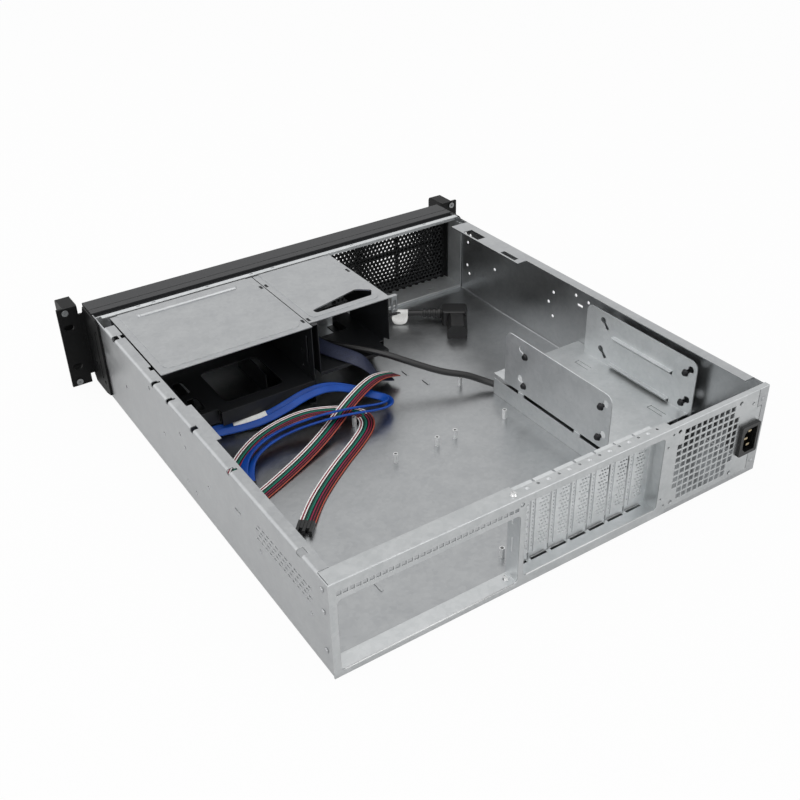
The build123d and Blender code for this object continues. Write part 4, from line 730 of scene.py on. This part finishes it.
class RackCaseLeadSettings(bpy.types.PropertyGroup):
    """Sizes of the leads."""

    mains_diameter: FloatProperty(
        name="Mains lead", description="Diameter of the mains lead", default=0.0068, min=0.004,
        max=0.012, unit="LENGTH")
    ribbon_width: FloatProperty(
        name="Ribbon width", description="Width of the panel ribbon", default=0.015, min=0.005,
        max=0.03, unit="LENGTH")
    ribbon_thickness: FloatProperty(
        name="Ribbon thickness", description="Height of one wire", default=0.0012, min=0.0006,
        max=0.003, unit="LENGTH")
    data_width: FloatProperty(
        name="Data cable width", description="Width of a flat data cable", default=0.0074, min=0.004,
        max=0.012, unit="LENGTH")
    data_thickness: FloatProperty(
        name="Data cable thickness", description="Thickness of a flat data cable", default=0.0022,
        min=0.001, max=0.004, unit="LENGTH")
    data_spacing: FloatProperty(
        name="Data cable spacing", description="From one data cable to the other", default=0.0082,
        min=0.002, max=0.02, unit="LENGTH")


class RackCaseStageSettings(bpy.types.PropertyGroup):
    """Camera, floor and light."""

    lens: FloatProperty(
        name="Lens", description="Focal length on a 36 mm sensor", default=46.027, min=10, max=300,
        unit="CAMERA")
    camera_place: FloatVectorProperty(
        name="Camera place", description="Where the camera stands", size=3,
        default=(0.438546, 0.699901, 0.553264), subtype="TRANSLATION", unit="LENGTH")
    floor_size: FloatProperty(
        name="Floor size", description="Side of the studio floor", default=12.0, min=1, max=50,
        unit="LENGTH")
    sky: FloatProperty(
        name="Sky strength", description="Level of the light from above", default=0.8, min=0, max=2)
    horizon: FloatProperty(
        name="Horizon strength", description="Level of the light from around", default=1.0, min=0,
        max=2)


class RACKCASE_OT_camera(bpy.types.Operator):
    """Camera where the case is looked at from behind, high on the input/output side"""

    bl_idname = "rackcase.camera"
    bl_label = "Camera"

    def execute(self, context):
        stage = context.scene.rack_case_stage
        data = bpy.data.cameras.new("camera")
        data.lens = stage.lens
        data.sensor_width = SENSOR_WIDTH
        data.clip_start, data.clip_end = 0.01, 100.0
        camera = add_object("camera", data)
        azimuth, elevation, roll = CAMERA_TURN
        reach = math.cos(elevation)
        back = Vector((math.sin(azimuth) * reach, -math.cos(azimuth) * reach, math.sin(elevation)))
        level = Vector((0, 0, 1)).cross(back).normalized()
        upright = back.cross(level)
        right = level * math.cos(roll) + upright * math.sin(roll)
        up = back.cross(right)
        matrix = Matrix((right, up, back)).transposed().to_4x4()
        matrix.translation = Vector(stage.camera_place)
        camera.matrix_world = matrix
        context.scene.camera = camera
        return {"FINISHED"}


class RACKCASE_OT_mains_lead(bpy.types.Operator):
    """Round mains lead from the inlet to its plug in the bay, with its paper flag"""

    bl_idname = "rackcase.mains_lead"
    bl_label = "Mains lead"

    def execute(self, context):
        leads = context.scene.rack_case_leads
        points = from_rear(MAINS_ROUTE)
        lead = control_line("mains_lead", points)
        lead.data.bevel_depth = leads.mains_diameter / 2
        lead.data.bevel_resolution = 5
        lead.data.use_fill_caps = True
        paint(lead, finish_of("jacket", black_pvc))
        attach(lead, CASE_BODY)
        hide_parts("power_cord")
        paint_nodes(finish_of("nylon", moulded_nylon), "cord_plug", "cord_strain_relief")
        flag = paper_flag(points[-1], (points[-1] - points[-2]).normalized())
        paint(flag, finish_of("paper", white_paper))
        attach(flag, CASE_BODY)
        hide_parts("cord_label")
        return {"FINISHED"}


class RACKCASE_OT_data_cables(bpy.types.Operator):
    """Two flat blue data cables that lie in one loop on the floor, with a white sleeve on the first"""

    bl_idname = "rackcase.data_cables"
    bl_label = "Data cables"

    def execute(self, context):
        leads = context.scene.rack_case_leads
        section = lobed_section(leads.data_width, leads.data_thickness)
        for number in (1, 2):
            points = from_rear(DATA_ROUTE)
            if number == 2:
                points = beside(points, leads.data_spacing)
            line = line_points(points)
            cable = band(f"data_cable_{number}_jacket", line, section, DATA_LEAN)
            paint(cable, finish_of("blue", blue_pvc))
            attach(cable, CASE_BODY)
            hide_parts(f"data_cable_{number}")
            if number == 1:
                sleeve = white_sleeve(line)
                paint(sleeve, finish_of("paper", white_paper))
                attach(sleeve, CASE_BODY)
                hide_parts("data_cable_sleeve")
        paint_nodes(finish_of("nylon", moulded_nylon), "data_cable_plugs")
        return {"FINISHED"}


class RACKCASE_OT_panel_ribbon(bpy.types.Operator):
    """Ribbon of twelve coloured wires in two stretches, and its dark sleeve"""

    bl_idname = "rackcase.panel_ribbon"
    bl_label = "Panel ribbon"

    def execute(self, context):
        leads = context.scene.rack_case_leads
        section, values = wire_section(leads.ribbon_width, leads.ribbon_thickness, len(WIRE_COLOURS))
        for number, route, end, fold in RIBBON_STRETCHES:
            points = from_rear(route)
            line = line_points(points)
            ribbon = band(f"panel_ribbon_{number}_wires", line, section, values=values, flip=fold)
            paint(ribbon, finish_of("ribbon", ribbon_pvc))
            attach(ribbon, CASE_BODY)
            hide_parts(f"panel_ribbon_{number}")
        points = from_rear(NAVY_SLEEVE_ROUTE)
        line = line_points(points)
        section = scaled(NAVY_SLEEVE_OUTLINE, *NAVY_SLEEVE_SIZE)
        sleeve = band("ribbon_sleeve_tape", line, section, NAVY_SLEEVE_LEAN)
        paint(sleeve, finish_of("navy", navy_tape))
        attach(sleeve, CASE_BODY)
        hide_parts("ribbon_sleeve")
        paint_nodes(finish_of("nylon", moulded_nylon), "ribbon_plugs")
        return {"FINISHED"}


class RACKCASE_OT_bare_sheet(bpy.types.Operator):
    """Galvanised sheet parts, from pan to slot covers, partly lightened as painted light, and four
    painted edge highlights
    """

    bl_idname = "rackcase.bare_sheet"
    bl_label = "Galvanised sheet"

    def execute(self, context):
        steel = context.scene.rack_case_steel
        dull = steel.sheet_colour_hex, steel.sheet_shade_hex
        lit_sheet = steel.lit_colour_hex, steel.lit_shade_hex
        slot_covers = tuple(f"slot_cover_{k}" for k in range(1, 8))
        # Name, colours, edge, how much matter it is than the pan, and the nodes that are made of it. The
        # rear and lit colours are lighter copies of the pan's sheet: painted light.
        for name, colours, edge, matt, nodes in (
            ("Galvanised sheet", dull, steel.edge_round, 0.0,
             ("base_pan", "bay_cover_large", "bay_cover_small", "wall_rivets")),
            ("Rear galvanised sheet", REAR_LIT_COLOURS, steel.edge_round, 0.05, ("rear_panel",)),
            ("Lit galvanised sheet", lit_sheet, steel.edge_round, 0.05, ("expansion_frame",)),
            ("Matt galvanised sheet", lit_sheet, steel.edge_round, 0.2,
             ("drive_cradle", "cradle_support_left", "cradle_support_right", "front_frame")),
            ("Punched galvanised sheet", lit_sheet, 0.0, 0.2, slot_covers),
        ):
            paint_nodes(galvanised_sheet(steel, name, *colours, edge, matt), *nodes)
        # Thin pale bars on four sheet edges: painted highlights.
        for name, *ends in EDGE_HIGHLIGHTS:
            highlight_bar = band(name, from_rear(ends), round_section(HIGHLIGHT_BAR_WIDTH))
            paint(highlight_bar, finish_of("zinc posts and highlights", zinc_posts_and_highlights))
            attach(highlight_bar, CASE_BODY)
        return {"FINISHED"}


class RACKCASE_OT_coated_sheet(bpy.types.Operator):
    """Black coated parts: front panel, ears, handles, intake wall, bay cages and shelf"""

    bl_idname = "rackcase.coated_sheet"
    bl_label = "Coated sheet"

    def execute(self, context):
        steel = context.scene.rack_case_steel
        powder = black_powder_coat("Black powder coat", "#17181A", "#232427")
        # Darker, less glossy copy of the powder coat for the ears and handles: painted shade, as they
        # face away from the light.
        shaded_powder = black_powder_coat("Shaded black powder coat", "#090909", "#0F1011", 0.16)
        dip = black_dip_coat("Black dip coat", "#1B1C1E", steel.edge_round)
        thin = black_dip_coat("Thin black dip coat", "#121314", 0.0)
        paint_nodes(powder, "front_panel", "bay_blank")
        paint_nodes(shaded_powder, "ear_left", "ear_right", "handle_left", "handle_right")
        paint_nodes(dip, "bay_cage_large", "bay_cage_small", "drive_tray")
        low, high = (Vector(corner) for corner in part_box("front_mesh"))
        wall_high = Vector((high.x, low.y + INTAKE_SHEET, high.z))
        wall = perforated_wall("intake_mesh", low, wall_high, *INTAKE_HOLES)
        for x in (low.x, high.x - INTAKE_SHEET):
            add_block(wall, (x, low.y, low.z), (x + INTAKE_SHEET, high.y, high.z))
        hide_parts("front_mesh")
        screen_low = low + Vector((SCREEN_INSET, -SCREEN_FORWARD, SCREEN_FOOT))
        screen_high = wall_high - Vector((SCREEN_INSET, SCREEN_FORWARD, 0))
        screen = perforated_wall("intake_screen", screen_low, screen_high, *SCREEN_HOLES)
        for piece in (wall, screen):
            paint(piece, thin)
            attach(piece, CASE_BODY)
        return {"FINISHED"}


class RACKCASE_OT_fasteners(bpy.types.Operator):
    """Board posts, screws and the shells of the sockets"""

    bl_idname = "rackcase.fasteners"
    bl_label = "Fasteners"

    def execute(self, context):
        paint_nodes(finish_of("zinc posts and highlights", zinc_posts_and_highlights), "standoffs")
        paint_nodes(zinc_plate("Bright zinc plate", "#DCDDDD"), "frame_screws", "usb_ports")
        # The handle screws get a darker zinc: painted shade, as on the ears they sit on.
        paint_nodes(zinc_plate("Shaded zinc plate", "#8E9091"), "handle_screws")
        paint_nodes(black_oxide(), "cradle_screws", "cradle_screws_inner")
        return {"FINISHED"}


class RACKCASE_OT_small_parts(bpy.types.Operator):
    """Inlet, buttons, control board and indicators"""

    bl_idname = "rackcase.small_parts"
    bl_label = "Small parts"

    def execute(self, context):
        paint_nodes(finish_of("nylon", moulded_nylon), "power_inlet", "power_button", "reset_button")
        paint_nodes(nickel_pins(), "inlet_pins")
        paint_nodes(solder_mask(), "control_board")
        paint_nodes(clear_lens(), "status_lights")
        return {"FINISHED"}


class RACKCASE_OT_stage(bpy.types.Operator):
    """Pale floor, soft lamps and a plain sky"""

    bl_idname = "rackcase.stage"
    bl_label = "Stage"

    def execute(self, context):
        scene, stage = context.scene, context.scene.rack_case_stage
        half = stage.floor_size / 2
        corners = [(-half, -half, 0), (half, -half, 0), (half, half, 0), (-half, half, 0)]
        floor = add_mesh("studio_floor", corners, [(0, 1, 2, 3)])
        floor.location.z = -FLOOR_GAP
        paint(floor, studio_paper())
        self.light_the_world(scene, stage)
        for name, place, size, power in LAMPS:
            data = bpy.data.lights.new(name, "AREA")
            data.shape = "RECTANGLE"
            data.size, data.size_y = size
            data.energy = power
            lamp = add_object(name, data)
            lamp.location = place
            lamp.rotation_euler = (-Vector(place)).to_track_quat("-Z", "Y").to_euler()
        scene.view_settings.view_transform = "Standard"
        return {"FINISHED"}

    @staticmethod
    def light_the_world(scene, stage):
        """Plain sky, white to the camera, that lights a little more from around than from above."""
        world = bpy.data.worlds.new("studio")
        scene.world = world
        world.use_nodes = True
        tree = world.node_tree
        tree.nodes.clear()
        place = add_node(tree, "ShaderNodeTexCoord")
        height = add_node(tree, "ShaderNodeSeparateXYZ", {}, {"Vector": place.outputs["Generated"]})
        level = add_node(tree, "ShaderNodeMapRange",
                         {"From Min": 0.1, "From Max": 0.8, "To Min": stage.horizon, "To Max": stage.sky},
                         {"Value": height.outputs["Z"]})
        _, seen = rays_seen(tree)
        choose = add_node(tree, "ShaderNodeMix", {"data_type": "FLOAT", "B": 1.0},
                          {"Factor": seen, "A": level.outputs["Result"]})
        sky = add_node(tree, "ShaderNodeBackground", {"Color": (1, 1, 1, 1)},
                       {"Strength": choose.outputs["Result"]})
        add_node(tree, "ShaderNodeOutputWorld", {}, {"Surface": sky.outputs["Background"]})


SETTINGS = {
    "rack_case_steel": RackCaseSteelSettings,
    "rack_case_leads": RackCaseLeadSettings,
    "rack_case_stage": RackCaseStageSettings,
}
STEPS = (
    RACKCASE_OT_camera,
    RACKCASE_OT_mains_lead,
    RACKCASE_OT_data_cables,
    RACKCASE_OT_panel_ribbon,
    RACKCASE_OT_bare_sheet,
    RACKCASE_OT_coated_sheet,
    RACKCASE_OT_fasteners,
    RACKCASE_OT_small_parts,
    RACKCASE_OT_stage,
)


class RACKCASE_PT_panel(bpy.types.Panel):
    """Lists the steps and the sizes and colours that they use"""

    bl_label = "Rack case"
    bl_idname = "RACKCASE_PT_panel"
    bl_space_type = "VIEW_3D"
    bl_region_type = "UI"
    bl_category = "Rack case"

    def draw(self, context):
        for pointer, group in SETTINGS.items():
            box = self.layout.box()
            for name in group.__annotations__:
                box.prop(getattr(context.scene, pointer), name)
        for step in STEPS:
            self.layout.operator(step.bl_idname)


def register():
    for group in SETTINGS.values():
        bpy.utils.register_class(group)
    for pointer, group in SETTINGS.items():
        setattr(bpy.types.Scene, pointer, PointerProperty(type=group))
    for step in STEPS:
        bpy.utils.register_class(step)
    bpy.utils.register_class(RACKCASE_PT_panel)


def unregister():
    bpy.utils.unregister_class(RACKCASE_PT_panel)
    for step in reversed(STEPS):
        bpy.utils.unregister_class(step)
    for pointer in SETTINGS:
        delattr(bpy.types.Scene, pointer)
    for group in reversed(list(SETTINGS.values())):
        bpy.utils.unregister_class(group)


def main():
    register()
    for step in STEPS:
        group, name = step.bl_idname.split(".")
        getattr(getattr(bpy.ops, group), name)()


if __name__ == "__main__":
    main()
